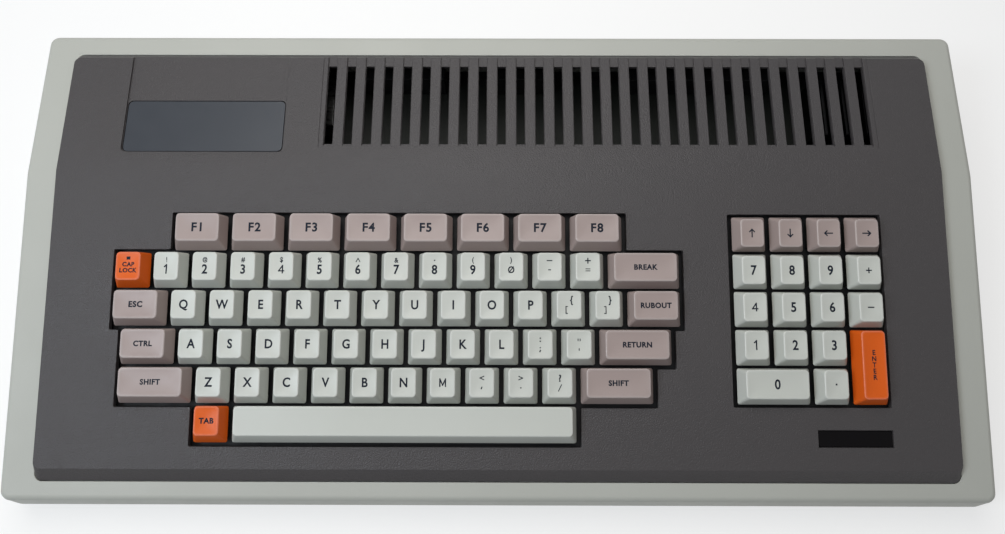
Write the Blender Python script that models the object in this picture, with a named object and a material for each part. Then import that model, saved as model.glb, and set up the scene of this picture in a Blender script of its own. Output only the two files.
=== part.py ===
"""A vintage home computer with its keyboard in the same case.

A cream tub and a cream frame hold a dark deck panel, which slopes up to a flat rear
deck with cooling slots. Under it are the keyboard, the main board and the rear sockets.

Metres, +Z up, +X to the user's right, +Y towards the rear. The origin is the middle
of the whole width and depth, on the surface that the feet stand on.
"""
import math

import bmesh
import bpy
from mathutils import Matrix, Vector

# Key grid
KEY_PITCH = 0.01905
KEY_ROWS = 6
MAIN_UNITS = 15
PAD_UNITS = 4
PAD_ROWS = 5
KEY_TRAVEL = 0.0038

# Case outline
SLOPE = math.radians(7.87)
LEFT_MARGIN = 0.0350
BLOCK_GAP = 0.0250
RIGHT_MARGIN = 0.0348
SIDE_RIM = 0.0176
FRONT_RIM = 0.0097
REAR_RIM = 0.0121
KEYS_TO_FRONT = 0.0280
KEYS_TO_CREASE = 0.0229
REAR_DECK = 0.0686
FRONT_HEIGHT = 0.0257
FOOT_HEIGHT = 0.0040
SEAM_HEIGHT = 0.0120
CASE_WALL = 0.0026
CASE_FLOOR = 0.0026
CASE_FLARE = 0.0020
CASE_CORNER = 0.0050
CASE_EDGE = 0.0030
EDGE_STEPS = 3
CASE_TUCK = 0.0008
CORNER_STEPS = 3

# Fits between pieces
SEAT_GAP = 0.0003
CUT_OVERRUN = 0.0020
JOIN_BITE = 0.0005

# Deck panel
DECK_RISE = 0.0042
DECK_THICKNESS = 0.0030
DECK_WALL = 0.0024
DECK_GAP = 0.0004
DECK_FRONT_CHAMFER = 0.0054
DECK_REAR_CHAMFER = 0.0038
DECK_SIDE_DRAFT = 0.0008
DECK_CORNER = 0.0035
DECK_SEAT_DEPTH = 0.0036
LEDGE_WIDTH = 0.0032
LEDGE_THICKNESS = 0.0024
KEY_CLEARANCE = 0.0013
PAD_CLEARANCE = 0.0008
HANGER_SIZE = 0.0060

# Cooling slots in the rear deck
VENT_COUNT = 29
VENT_PITCH = 0.01004
VENT_WIDTH = 0.0048
VENT_LENGTH = 0.0452
VENT_FIRST = 0.1396
VENT_FROM_CREASE = 0.0152
VENT_STEP = 0.0002
GROOVE_DEPTH = 0.0012
GROOVE_LEAD = 0.0010
FIELD_DEPTH = 0.00035
FIELD_MARGIN = 0.0024

# Label recess and its plain plate
LABEL_LEFT = 0.0324
LABEL_WIDTH = 0.0840
LABEL_FROM_CREASE = 0.0104
LABEL_DEPTH = 0.0009
LABEL_CORNER = 0.0024
NAMEPLATE_HEIGHT = 0.0294
NAMEPLATE_THICKNESS = 0.0010

# Lamp window below the number pad
WINDOW_WIDTH = 0.0368
WINDOW_HEIGHT = 0.0083
WINDOW_BELOW_PAD = 0.0117
WINDOW_SINK = 0.0008
WINDOW_THICKNESS = 0.0012
WINDOW_LEDGE = 0.0012
LAMP_DIAMETER = 0.0050
LAMP_BELOW_WINDOW = 0.0006

# Keycaps
CAP_GAP = 0.0022
CAP_END_GAP = 0.0013
CAP_ABOVE_DECK = 0.0070
CAP_HEIGHT = 0.0072
CAP_SIDE_INSET = 0.0024
PAD_SIDE_INSET = 0.0027
CAP_END_INSET = 0.00188
CAP_CORNER = 0.0010
CAP_TOP_CORNER = 0.0018
CAP_DISH = 0.0006
CAP_WALL = 0.0014
CAP_ROOF = 0.0018
STEM_SIZE = 0.0040
STEM_BELOW_CAP = 0.0030
WEB_WIDTH = 0.0040
WEB_HEIGHT = 0.0010
WEB_LIFT = 0.0004
WEB_BITE = 0.0009

# How far each row's cap tops are set towards the rear, from the row nearest the user,
# as shares of the key pitch.
MAIN_SET_BACK_SHARES = (0.1105, 0.084, 0.063, 0.0785, 0.0785, 0.1155)
PAD_SET_BACK_SHARES = (0.063, 0.063, 0.042, 0.0055, -0.0155)

# Keyboard plate, switches and board
CAP_TO_PLATE = 0.0012
PLATE_THICKNESS = 0.0015
PLATE_SIDE_MARGIN = 0.0120
PLATE_END_MARGIN = 0.0060
SWITCH_SIZE = 0.0136
SWITCH_TOP_SIZE = 0.0084
SWITCH_BELOW_CAP = 0.0004
SWITCH_COLLAR = 0.0004
SWITCH_FLOOR = 0.0021
STEM_PLAY = 0.0004
STEM_TO_FLOOR = 0.0016
KEY_BOARD_THICKNESS = 0.0016
KEY_BOARD_MARGIN = 0.0030
BOARD_POST_CLEARANCE = 0.0020
POST_SIZE = 0.0080

# Main board
MAIN_BOARD_LIFT = 0.0060
MAIN_BOARD_SIDE_GAP = 0.0145
MAIN_BOARD_THICKNESS = 0.0016
MAIN_BOARD_REAR_GAP = 0.0060
BOARD_POST_DIAMETER = 0.0080
BOARD_POST_INSET = 0.0100
CHIP_HEIGHT = 0.0042
LARGE_CHIP_LENGTH = 0.0520
LARGE_CHIP_DEPTH = 0.0150
SMALL_CHIP_LENGTH = 0.0220
SMALL_CHIP_DEPTH = 0.0075
LARGE_CHIPS = 5
SMALL_CHIPS = 10
CHIPS_FROM_FRONT = 0.0160
CHIP_ROW_GAP = 0.0090
SINK_WIDTH = 0.0300
SINK_LENGTH = 0.0320
SINK_HEIGHT = 0.0260
SINK_BASE = 0.0030
SINK_FIN = 0.0016
SINK_FINS = 6
SINK_FROM_REAR = 0.0120
RIBBON_WIDTH = 0.0300
RIBBON_THICKNESS = 0.0010
RIBBON_FROM_EDGE = 0.0060
RIBBON_BEND = 0.0100
RIBBON_STEPS = 8

# Rear sockets
SOCKET_LIFT = 0.0110
SOCKET_DEPTH = 0.0120
SOCKET_TOP = 0.0064
BARREL_DIAMETER = 0.0083
BARREL_BORE = 0.0034
BARREL_BORE_DEPTH = 0.0090
BARREL_PROUD = 0.0070
JACK_COUNT = 3
JACK_PITCH = 0.0160
JACK_MARGIN = 0.0070
MODULATOR_WIDTH = 0.0520
MODULATOR_DEPTH = 0.0420
MODULATOR_HEIGHT = 0.0200
INLET_WIDTH = 0.0140
INLET_NOSE = 0.0110
INLET_BORE = 0.0070
INLET_BORE_DEPTH = 0.0090
INLET_PIN = 0.0021
INLET_PIN_LENGTH = 0.0070
PORT_WIDTH = 0.0310
SHELL_WIDTH = 0.0168
SHELL_HEIGHT = 0.0083
SHELL_TAPER = 0.0014
SHELL_WALL = 0.0008
SHELL_PROUD = 0.0048
PIN_SIZE = 0.0010
PIN_PITCH = 0.0027
PIN_ROW_GAP = 0.0028
PIN_BELOW_RIM = 0.0010
PINS_IN_ROW = (5, 4)
EXPANSION_WIDTH = 0.0860
EXPANSION_HEIGHT = 0.0120
EXPANSION_SLOT_WIDTH = 0.0740
EXPANSION_SLOT_HEIGHT = 0.0022
EXPANSION_SLOT_DEPTH = 0.0090

# Power switch
SWITCH_BODY_WIDTH = 0.0190
SWITCH_BODY_HEIGHT = 0.0144
SWITCH_BODY_DEPTH = 0.0160
SWITCH_FLANGE = 0.0014
SWITCH_FLANGE_THICKNESS = 0.0016
ROCKER_WIDTH = 0.0140
ROCKER_HEIGHT = 0.0088
ROCKER_BACK = 0.0022
ROCKER_BACK_INSET = 0.0008
ROCKER_PIVOT_DEPTH = 0.0026
ROCKER_GAP = 0.0009
ROCKER_PIN = 0.0022
ROCKER_PIN_BITE = 0.0008
ROCKER_TILT = math.radians(9.0)

# Places along the rear wall and the main board, as shares of half the case's width.
POWER_SWITCH_SHARE = -0.84
INLET_SHARE = -0.70
MODULATOR_SHARE = -0.48
JACKS_SHARE = -0.22
PORT_SHARE = 0.06
EXPANSION_SHARE = 0.46
SINK_SHARE = 0.76

# Feet and case screws
FOOT_DIAMETER = 0.0140
FOOT_RECESS = 0.0010
FOOT_INSET = 0.0260
FOOT_EDGE = 0.0010
SCREW_SHANK = 0.0030
SCREW_HEAD = 0.0058
SCREW_HEAD_HEIGHT = 0.0022
SCREW_SINK = 0.0006
SCREW_REACH = 0.0080
SCREW_SLOT_WIDTH = 0.0010
SCREW_SLOT_DEPTH = 0.0008
SCREW_POST = 0.0090
SCREW_INSET_X = 0.0120
SCREW_INSET_Y = 0.0130
ROUND_SIDES = 20
SMALL_SIDES = 12
SMOOTH_UNDER = math.radians(30)

# Worked out from the values above
DECK_WIDTH = (
    LEFT_MARGIN + MAIN_UNITS * KEY_PITCH + BLOCK_GAP + PAD_UNITS * KEY_PITCH + RIGHT_MARGIN
)
KEYS_TO_REAR = KEYS_TO_FRONT + KEY_ROWS * KEY_PITCH
CREASE_RUN = KEYS_TO_REAR + KEYS_TO_CREASE
RIM_WIDTH = DECK_WIDTH + 2 * SIDE_RIM
RIM_DEPTH = CREASE_RUN * math.cos(SLOPE) + REAR_DECK + REAR_RIM
REAR_REACH = max(CASE_FLARE + SEAT_GAP + SHELL_PROUD, BARREL_PROUD)
FRONT_Y = (CASE_FLARE - RIM_DEPTH - REAR_REACH) / 2
REAR_Y = FRONT_Y + RIM_DEPTH
CREASE_Y = FRONT_Y + CREASE_RUN * math.cos(SLOPE)
DECK_FRONT_Y = FRONT_Y + FRONT_RIM
DECK_REAR_Y = REAR_Y - REAR_RIM
CASE_BOTTOM = FOOT_HEIGHT
FLOOR_TOP = CASE_BOTTOM + CASE_FLOOR
SEAM_Z = CASE_BOTTOM + SEAM_HEIGHT
FRONT_RIM_Z = CASE_BOTTOM + FRONT_HEIGHT
REAR_RIM_Z = FRONT_RIM_Z + CREASE_RUN * math.sin(SLOPE)
REAR_DECK_Z = REAR_RIM_Z + DECK_RISE
MAIN_LEFT_X = -DECK_WIDTH / 2 + LEFT_MARGIN
MAIN_RIGHT_X = MAIN_LEFT_X + MAIN_UNITS * KEY_PITCH
PAD_LEFT_X = MAIN_RIGHT_X + BLOCK_GAP
PAD_RIGHT_X = PAD_LEFT_X + PAD_UNITS * KEY_PITCH
PAD_TO_FRONT = KEYS_TO_FRONT + (KEY_ROWS - PAD_ROWS) * KEY_PITCH

# Heights above the sloping rim plane, square to it
DECK_TOP = DECK_RISE * math.cos(SLOPE)
CAP_TOP = DECK_TOP + CAP_ABOVE_DECK
CAP_BOTTOM = CAP_TOP - CAP_HEIGHT
STEM_BOTTOM = CAP_BOTTOM - STEM_BELOW_CAP
PLATE_TOP = CAP_BOTTOM - KEY_TRAVEL - CAP_TO_PLATE
PLATE_BOTTOM = PLATE_TOP - PLATE_THICKNESS
SWITCH_TOP = CAP_BOTTOM - SWITCH_BELOW_CAP
SWITCH_WELL = STEM_BOTTOM - KEY_TRAVEL - STEM_TO_FLOOR
KEY_BOARD_TOP = SWITCH_WELL - SWITCH_FLOOR
KEY_BOARD_BOTTOM = KEY_BOARD_TOP - KEY_BOARD_THICKNESS

# Places of the boards and of the rear wall
POST_ROWS = (KEYS_TO_FRONT + KEY_PITCH / 2, KEYS_TO_REAR - KEY_PITCH / 2)
POST_COLUMNS = (
    MAIN_LEFT_X - PLATE_SIDE_MARGIN / 2,
    (MAIN_RIGHT_X + PAD_LEFT_X) / 2,
    PAD_RIGHT_X + PLATE_SIDE_MARGIN / 2,
)
REAR_POST_Y = FRONT_Y + POST_ROWS[1] * math.cos(SLOPE) - PLATE_BOTTOM * math.sin(SLOPE)
MAIN_BOARD_WIDTH = RIM_WIDTH - 2 * (SCREW_INSET_X + SCREW_POST / 2 + MAIN_BOARD_SIDE_GAP)
MAIN_BOARD_BOTTOM = FLOOR_TOP + MAIN_BOARD_LIFT
MAIN_BOARD_TOP = MAIN_BOARD_BOTTOM + MAIN_BOARD_THICKNESS
MAIN_BOARD_FRONT_Y = REAR_POST_Y + POST_SIZE / 2 + BOARD_POST_CLEARANCE
MAIN_BOARD_REAR_Y = REAR_Y - CASE_WALL - MAIN_BOARD_REAR_GAP
SOCKET_Z = MAIN_BOARD_TOP + SOCKET_LIFT
SOCKET_FACE_Y = REAR_Y - CASE_WALL - SEAT_GAP
OUTSIDE_Y = REAR_Y + CASE_FLARE + SEAT_GAP
ROCKER_PIVOT_Y = OUTSIDE_Y + SWITCH_FLANGE_THICKNESS - ROCKER_PIVOT_DEPTH

WINDOW_X = PAD_RIGHT_X + PAD_CLEARANCE - WINDOW_WIDTH / 2
WINDOW_S = PAD_TO_FRONT - WINDOW_BELOW_PAD - WINDOW_HEIGHT / 2

# Each row of the main block, from the user upwards: its offset from the block's left
# edge and its keys, as (name, units wide). Keys that share a name form one joined bank.
MAIN_LAYOUT = (
    (2.25, (("tab_key", 1), ("space_bar", 9))),
    (0.25, (("left_shift_key", 2),) + 5 * (("lower_keys_left", 1),)
     + 5 * (("lower_keys_right", 1),) + (("right_shift_key", 2),)),
    (0.25, (("control_key", 1.5),) + 6 * (("home_keys_left", 1),)
     + 5 * (("home_keys_right", 1),) + (("return_key", 2),)),
    (0, (("escape_key", 1.5),) + 6 * (("upper_keys_left", 1),)
     + 6 * (("upper_keys_right", 1),) + (("rubout_key", 1.5),)),
    (0, (("capitals_lock_key", 1),) + 6 * (("digit_keys_left", 1),)
     + 6 * (("digit_keys_right", 1),) + (("break_key", 2),)),
    (1.5, tuple((f"function_key_{number + 1}", 1.5) for number in range(8))),
)

# The pad's keys, from the user upwards, as (name, column, row, units wide, units deep).
PAD_LAYOUT = (
    ("pad_zero_key", 0, 0, 2, 1),
    ("pad_keys_lower", 2, 0, 1, 1),
    ("enter_key", 3, 0, 1, 2),
    *(("pad_keys_lower", column, 1, 1, 1) for column in range(3)),
    *(("pad_keys_upper", column, row, 1, 1) for row in (2, 3) for column in range(4)),
    ("cursor_up_key", 0, 4, 1, 1),
    ("cursor_down_key", 1, 4, 1, 1),
    ("cursor_left_key", 2, 4, 1, 1),
    ("cursor_right_key", 3, 4, 1, 1),
)
ORANGE_KEYS = ("tab_key", "capitals_lock_key", "enter_key")
TAUPE_KEYS = (
    "left_shift_key", "right_shift_key", "control_key", "return_key", "escape_key",
    "rubout_key", "break_key",
)


# Small tools
def material(name, colour, roughness, metallic=0.0):
    """A named Principled material, made once."""
    if name in bpy.data.materials:
        return bpy.data.materials[name]
    made = bpy.data.materials.new(name)
    made.use_nodes = True
    shader = made.node_tree.nodes["Principled BSDF"]
    shader.inputs["Base Color"].default_value = (*colour, 1.0)
    shader.inputs["Roughness"].default_value = roughness
    shader.inputs["Metallic"].default_value = metallic
    made.diffuse_color = (*colour, 1.0)
    return made


def object_from(bm, name, finish=None, parent=None, origin=None):
    """Makes an object of a bmesh, its faces outwards and its origin where asked."""
    bmesh.ops.recalc_face_normals(bm, faces=bm.faces)
    if origin:
        bmesh.ops.translate(bm, verts=bm.verts, vec=-Vector(origin))
    mesh = bpy.data.meshes.new(name)
    bm.to_mesh(mesh)
    bm.free()
    made = bpy.data.objects.new(name, mesh)
    bpy.context.scene.collection.objects.link(made)
    made.parent = parent
    made.location = origin or (0, 0, 0)
    if finish:
        mesh.materials.append(finish)
    return made


def boolean(target, operation, bm, name, parent=None):
    """Joins a shape to a piece or cuts it away. The shape stays as a hidden helper."""
    shape = object_from(bm, name, parent=parent)
    shape.hide_render = True
    shape.display_type = "WIRE"
    modifier = target.modifiers.new(name, "BOOLEAN")
    modifier.operation = operation
    modifier.solver = "EXACT"
    modifier.object = shape


def add_box(bm, low, high):
    """A closed box between two corners."""
    size = Vector(high) - Vector(low)
    middle = (Vector(low) + Vector(high)) / 2
    place = Matrix.Translation(middle) @ Matrix.Diagonal((*size, 1))
    bmesh.ops.create_cube(bm, size=1, matrix=place)


def add_rod(bm, start, length, radius, sides, axis="Z"):
    """A closed round rod from a point along +Z or +Y."""
    turn = Matrix.Rotation(-math.pi / 2, 4, "X") if axis == "Y" else Matrix.Identity(4)
    place = Matrix.Translation(start) @ turn @ Matrix.Translation((0, 0, length / 2))
    bmesh.ops.create_cone(
        bm, cap_ends=True, segments=sides, radius1=radius, radius2=radius,
        depth=length, matrix=place,
    )


def add_prism(bm, outline, start, end, place=lambda u, v, w: (u, v, w)):
    """A closed prism over an outline. place turns (u, v, distance) into a point."""
    first = [bm.verts.new(place(u, v, start)) for u, v in outline]
    last = [bm.verts.new(place(u, v, end)) for u, v in outline]
    bm.faces.new(first[::-1])
    bm.faces.new(last)
    for i in range(len(outline)):
        bm.faces.new((first[i - 1], first[i], last[i], last[i - 1]))


def along_x(u, v, w):
    """Places an outline drawn in depth and height, run along X."""
    return w, u, v


def along_y(u, v, w):
    """Places an outline drawn in width and height, run along Y."""
    return u, w, v


def rounded(x0, x1, y0, y1, radius, steps=CORNER_STEPS, side_y=None):
    """A rectangle with round corners, anticlockwise, with points at side_y if given."""
    corners = (
        (x1 - radius, y0 + radius, -90), (x1 - radius, y1 - radius, 0),
        (x0 + radius, y1 - radius, 90), (x0 + radius, y0 + radius, 180),
    )
    points = []
    for number, (x, y, start) in enumerate(corners):
        for step in range(steps + 1):
            angle = math.radians(start + 90 * step / steps)
            points.append((x + radius * math.cos(angle), y + radius * math.sin(angle)))
        if side_y is not None and number == 0:
            points.append((x1, side_y))
        if side_y is not None and number == 2:
            points.append((x0, side_y))
    return points


def bridge(bm, rings, closed=False):
    """Joins rings of equally many points, and the last to the first if closed."""
    placed = [[bm.verts.new(point) for point in ring] for ring in rings]
    pairs = list(zip(placed, placed[1:]))
    if closed:
        pairs.append((placed[-1], placed[0]))
    for one, other in pairs:
        for i in range(len(one)):
            bm.faces.new((one[i - 1], one[i], other[i], other[i - 1]))
    return placed


def close_ends(bm, placed):
    """Fills the first and last of some bridged rings."""
    bm.faces.new(placed[0][::-1])
    bm.faces.new(placed[-1])


def square(x, y, half, z):
    """A square ring round a point."""
    return [(x + i * half, y + j * half, z) for i, j in ((-1, -1), (1, -1), (1, 1), (-1, 1))]


# Places on the case
def rim_z(y):
    """Height of the rim's top surface at a place between front and rear."""
    return FRONT_RIM_Z + (min(y, CREASE_Y) - FRONT_Y) * math.tan(SLOPE)


def case_ring(grow, height, radius):
    """A ring round the case, grown from the rim's outline. height is a function of y."""
    outline = rounded(
        -RIM_WIDTH / 2 - grow, RIM_WIDTH / 2 + grow, FRONT_Y - grow, REAR_Y + grow,
        radius, side_y=CREASE_Y,
    )
    return [(x, y, height(y)) for x, y in outline]


def deck_ring(side, front, rear, height, radius=DECK_CORNER):
    """A ring round the deck panel, grown from its outline at the sides and both ends."""
    outline = rounded(
        -DECK_WIDTH / 2 - side, DECK_WIDTH / 2 + side, DECK_FRONT_Y - front,
        DECK_REAR_Y + rear, radius, side_y=CREASE_Y,
    )
    return [(x, y, height(y)) for x, y in outline]


def on_slope(x, s, h):
    """The world place of a point given across, up the slope and square to it."""
    return Vector((
        x,
        FRONT_Y + s * math.cos(SLOPE) - h * math.sin(SLOPE),
        FRONT_RIM_Z + s * math.sin(SLOPE) + h * math.cos(SLOPE),
    ))


def corner_places(inset_x, inset_y):
    """Four places near the corners of the case."""
    x = RIM_WIDTH / 2 - inset_x
    return [(side * x, y) for y in (FRONT_Y + inset_y, REAR_Y - inset_y) for side in (-1, 1)]


def foot_places():
    return corner_places(FOOT_INSET, FOOT_INSET)


def screw_places():
    return corner_places(SCREW_INSET_X, SCREW_INSET_Y)


def keyboard_post_places():
    return [(x, s) for x in POST_COLUMNS for s in POST_ROWS]


def rear_x(share):
    return share * RIM_WIDTH / 2


def jack_places():
    first = rear_x(JACKS_SHARE) - (JACK_COUNT - 1) * JACK_PITCH / 2
    return [first + number * JACK_PITCH for number in range(JACK_COUNT)]


# Case shells
def make_lower_case(cream):
    """The tub: floor, low walls and every post that stands on the floor."""
    bm = bmesh.new()
    corner = CASE_CORNER + CASE_FLARE
    close_ends(bm, bridge(bm, [
        case_ring(CASE_FLARE - CASE_TUCK, lambda y: CASE_BOTTOM, corner - CASE_TUCK),
        case_ring(CASE_FLARE, lambda y: CASE_BOTTOM + CASE_TUCK, corner),
        case_ring(CASE_FLARE, lambda y: SEAM_Z - SEAT_GAP, corner),
        case_ring(CASE_FLARE - CASE_WALL, lambda y: SEAM_Z - SEAT_GAP, corner - CASE_WALL),
        case_ring(CASE_FLARE - CASE_WALL, lambda y: FLOOR_TOP, corner - CASE_WALL),
    ]))
    lower_case = object_from(bm, "lower_case", cream)

    posts = bmesh.new()
    low = FLOOR_TOP - JOIN_BITE
    across = MAIN_BOARD_WIDTH / 2 - BOARD_POST_INSET
    for x in (-across, 0, across):
        for y in (MAIN_BOARD_FRONT_Y + BOARD_POST_INSET, MAIN_BOARD_REAR_Y - BOARD_POST_INSET):
            add_rod(posts, (x, y, low), MAIN_BOARD_BOTTOM - SEAT_GAP - low,
                    BOARD_POST_DIAMETER / 2, SMALL_SIDES)
    for x, y in screw_places():
        add_rod(posts, (x, y, low), SEAM_Z - SEAT_GAP - low, SCREW_POST / 2, SMALL_SIDES)
    for x, s in keyboard_post_places():
        top = on_slope(x, s, PLATE_BOTTOM - SEAT_GAP)
        base = square(x, top.y, POST_SIZE / 2, low)
        head = [(px, py, top.z + (py - top.y) * math.tan(SLOPE)) for px, py, _ in base]
        close_ends(posts, bridge(posts, [base, head]))
    boolean(lower_case, "UNION", posts, "lower_case_posts")

    holes = bmesh.new()
    for x, y in screw_places():
        low = CASE_BOTTOM + SCREW_SINK
        add_rod(holes, (x, y, low), SEAM_Z + CUT_OVERRUN - low, SCREW_SHANK / 2 + SEAT_GAP,
                SMALL_SIDES)
    boolean(lower_case, "DIFFERENCE", holes, "screw_holes")

    sinks = bmesh.new()
    low = CASE_BOTTOM - CUT_OVERRUN
    for x, y in foot_places():
        add_rod(sinks, (x, y, low), CUT_OVERRUN + FOOT_RECESS, FOOT_DIAMETER / 2 + SEAT_GAP,
                ROUND_SIDES)
    for x, y in screw_places():
        add_rod(sinks, (x, y, low), CUT_OVERRUN + SCREW_SINK + SCREW_HEAD_HEIGHT + SEAT_GAP,
                SCREW_HEAD / 2 + SEAT_GAP, SMALL_SIDES)
    boolean(lower_case, "DIFFERENCE", sinks, "foot_and_screw_sinks")


def round_edge_rings():
    """Rings that turn the upper case's wall into its rim in a quarter round."""
    rings = []
    for step in range(EDGE_STEPS + 1):
        angle = math.pi / 2 * step / EDGE_STEPS
        inwards = CASE_EDGE * (1 - math.cos(angle))
        down = CASE_EDGE * (1 - math.sin(angle))
        rings.append(case_ring(
            -inwards, lambda y, down=down: rim_z(y) - down, CASE_CORNER - inwards))
    return rings


def make_upper_case(cream):
    """The frame round the deck, with the ledge that carries the deck panel."""
    under = DECK_SEAT_DEPTH + LEDGE_THICKNESS
    corner = CASE_CORNER + CASE_FLARE
    opening = DECK_CORNER + DECK_GAP
    bm = bmesh.new()
    bridge(bm, [
        case_ring(CASE_FLARE, lambda y: SEAM_Z, corner),
        *round_edge_rings(),
        deck_ring(DECK_GAP, DECK_GAP, DECK_GAP, rim_z, opening),
        deck_ring(DECK_GAP, DECK_GAP, DECK_GAP, lambda y: rim_z(y) - DECK_SEAT_DEPTH, opening),
        deck_ring(-LEDGE_WIDTH, -LEDGE_WIDTH, -LEDGE_WIDTH, lambda y: rim_z(y) - DECK_SEAT_DEPTH),
        deck_ring(-LEDGE_WIDTH, -LEDGE_WIDTH, -LEDGE_WIDTH, lambda y: rim_z(y) - under),
        case_ring(-CASE_WALL, lambda y: rim_z(y) - under, CASE_CORNER - CASE_WALL),
        case_ring(CASE_FLARE - CASE_WALL, lambda y: SEAM_Z, corner - CASE_WALL),
    ], closed=True)
    upper_case = object_from(bm, "upper_case", cream)

    bosses = bmesh.new()
    for x, y in screw_places():
        top = rim_z(y - SCREW_POST / 2) - under + JOIN_BITE
        add_rod(bosses, (x, y, SEAM_Z), top - SEAM_Z, SCREW_POST / 2, SMALL_SIDES)
    boolean(upper_case, "UNION", bosses, "screw_bosses")

    cuts = bmesh.new()
    for x, y in screw_places():
        add_rod(cuts, (x, y, SEAM_Z - CUT_OVERRUN), CUT_OVERRUN + SCREW_REACH + SEAT_GAP,
                SCREW_SHANK / 2 + SEAT_GAP, SMALL_SIDES)
    start = REAR_Y - CASE_WALL - CUT_OVERRUN
    end = OUTSIDE_Y + CUT_OVERRUN
    for x in (rear_x(MODULATOR_SHARE), *jack_places()):
        add_rod(cuts, (x, start, SOCKET_Z), end - start, BARREL_DIAMETER / 2 + SEAT_GAP,
                ROUND_SIDES, "Y")
    add_rod(cuts, (rear_x(INLET_SHARE), start, SOCKET_Z), end - start,
            INLET_NOSE / 2 + SEAT_GAP, ROUND_SIDES, "Y")
    for share, width, height in (
        (EXPANSION_SHARE, EXPANSION_WIDTH, EXPANSION_HEIGHT),
        (POWER_SWITCH_SHARE, SWITCH_BODY_WIDTH, SWITCH_BODY_HEIGHT),
    ):
        x = rear_x(share)
        add_box(cuts, (x - width / 2 - SEAT_GAP, start, SOCKET_Z - height / 2 - SEAT_GAP),
                (x + width / 2 + SEAT_GAP, end, SOCKET_Z + height / 2 + SEAT_GAP))
    add_prism(cuts, shell_outline(SEAT_GAP), start, end, along_y)
    boolean(upper_case, "DIFFERENCE", cuts, "rear_wall_cuts")


# Deck panel and what sits in it
def main_opening():
    """The stepped outline round the main block's rows, as (across, up the slope)."""
    edges = []
    for offset, keys in MAIN_LAYOUT:
        left = MAIN_LEFT_X + offset * KEY_PITCH
        right = left + sum(units for _, units in keys) * KEY_PITCH
        edges.append((left - KEY_CLEARANCE, right + KEY_CLEARANCE))
    paths = []
    for side, outwards in ((0, -1), (1, 1)):
        path = [(edges[0][side], KEYS_TO_FRONT - KEY_CLEARANCE)]
        for row in range(KEY_ROWS - 1):
            here, above = edges[row][side], edges[row + 1][side]
            step = outwards * (above - here)
            if abs(step) < KEY_CLEARANCE:
                continue
            line = KEYS_TO_FRONT + (row + 1) * KEY_PITCH - math.copysign(KEY_CLEARANCE, step)
            path += [(here, line), (above, line)]
        path.append((edges[-1][side], KEYS_TO_REAR + KEY_CLEARANCE))
        paths.append(path)
    return paths[1] + paths[0][::-1]


def pad_opening():
    left, right = PAD_LEFT_X - PAD_CLEARANCE, PAD_RIGHT_X + PAD_CLEARANCE
    low, high = PAD_TO_FRONT - PAD_CLEARANCE, KEYS_TO_REAR + PAD_CLEARANCE
    return [(left, low), (right, low), (right, high), (left, high)]


def vent_places():
    first = -DECK_WIDTH / 2 + VENT_FIRST
    return [first + number * VENT_PITCH for number in range(VENT_COUNT)]


def label_outline(inset, rear_y):
    """The label recess's outline, drawn in by inset and ending at rear_y."""
    left = -DECK_WIDTH / 2 + LABEL_LEFT
    front = CREASE_Y + LABEL_FROM_CREASE
    return rounded(left + inset, left + LABEL_WIDTH - inset, front + inset, rear_y, LABEL_CORNER)


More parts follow.
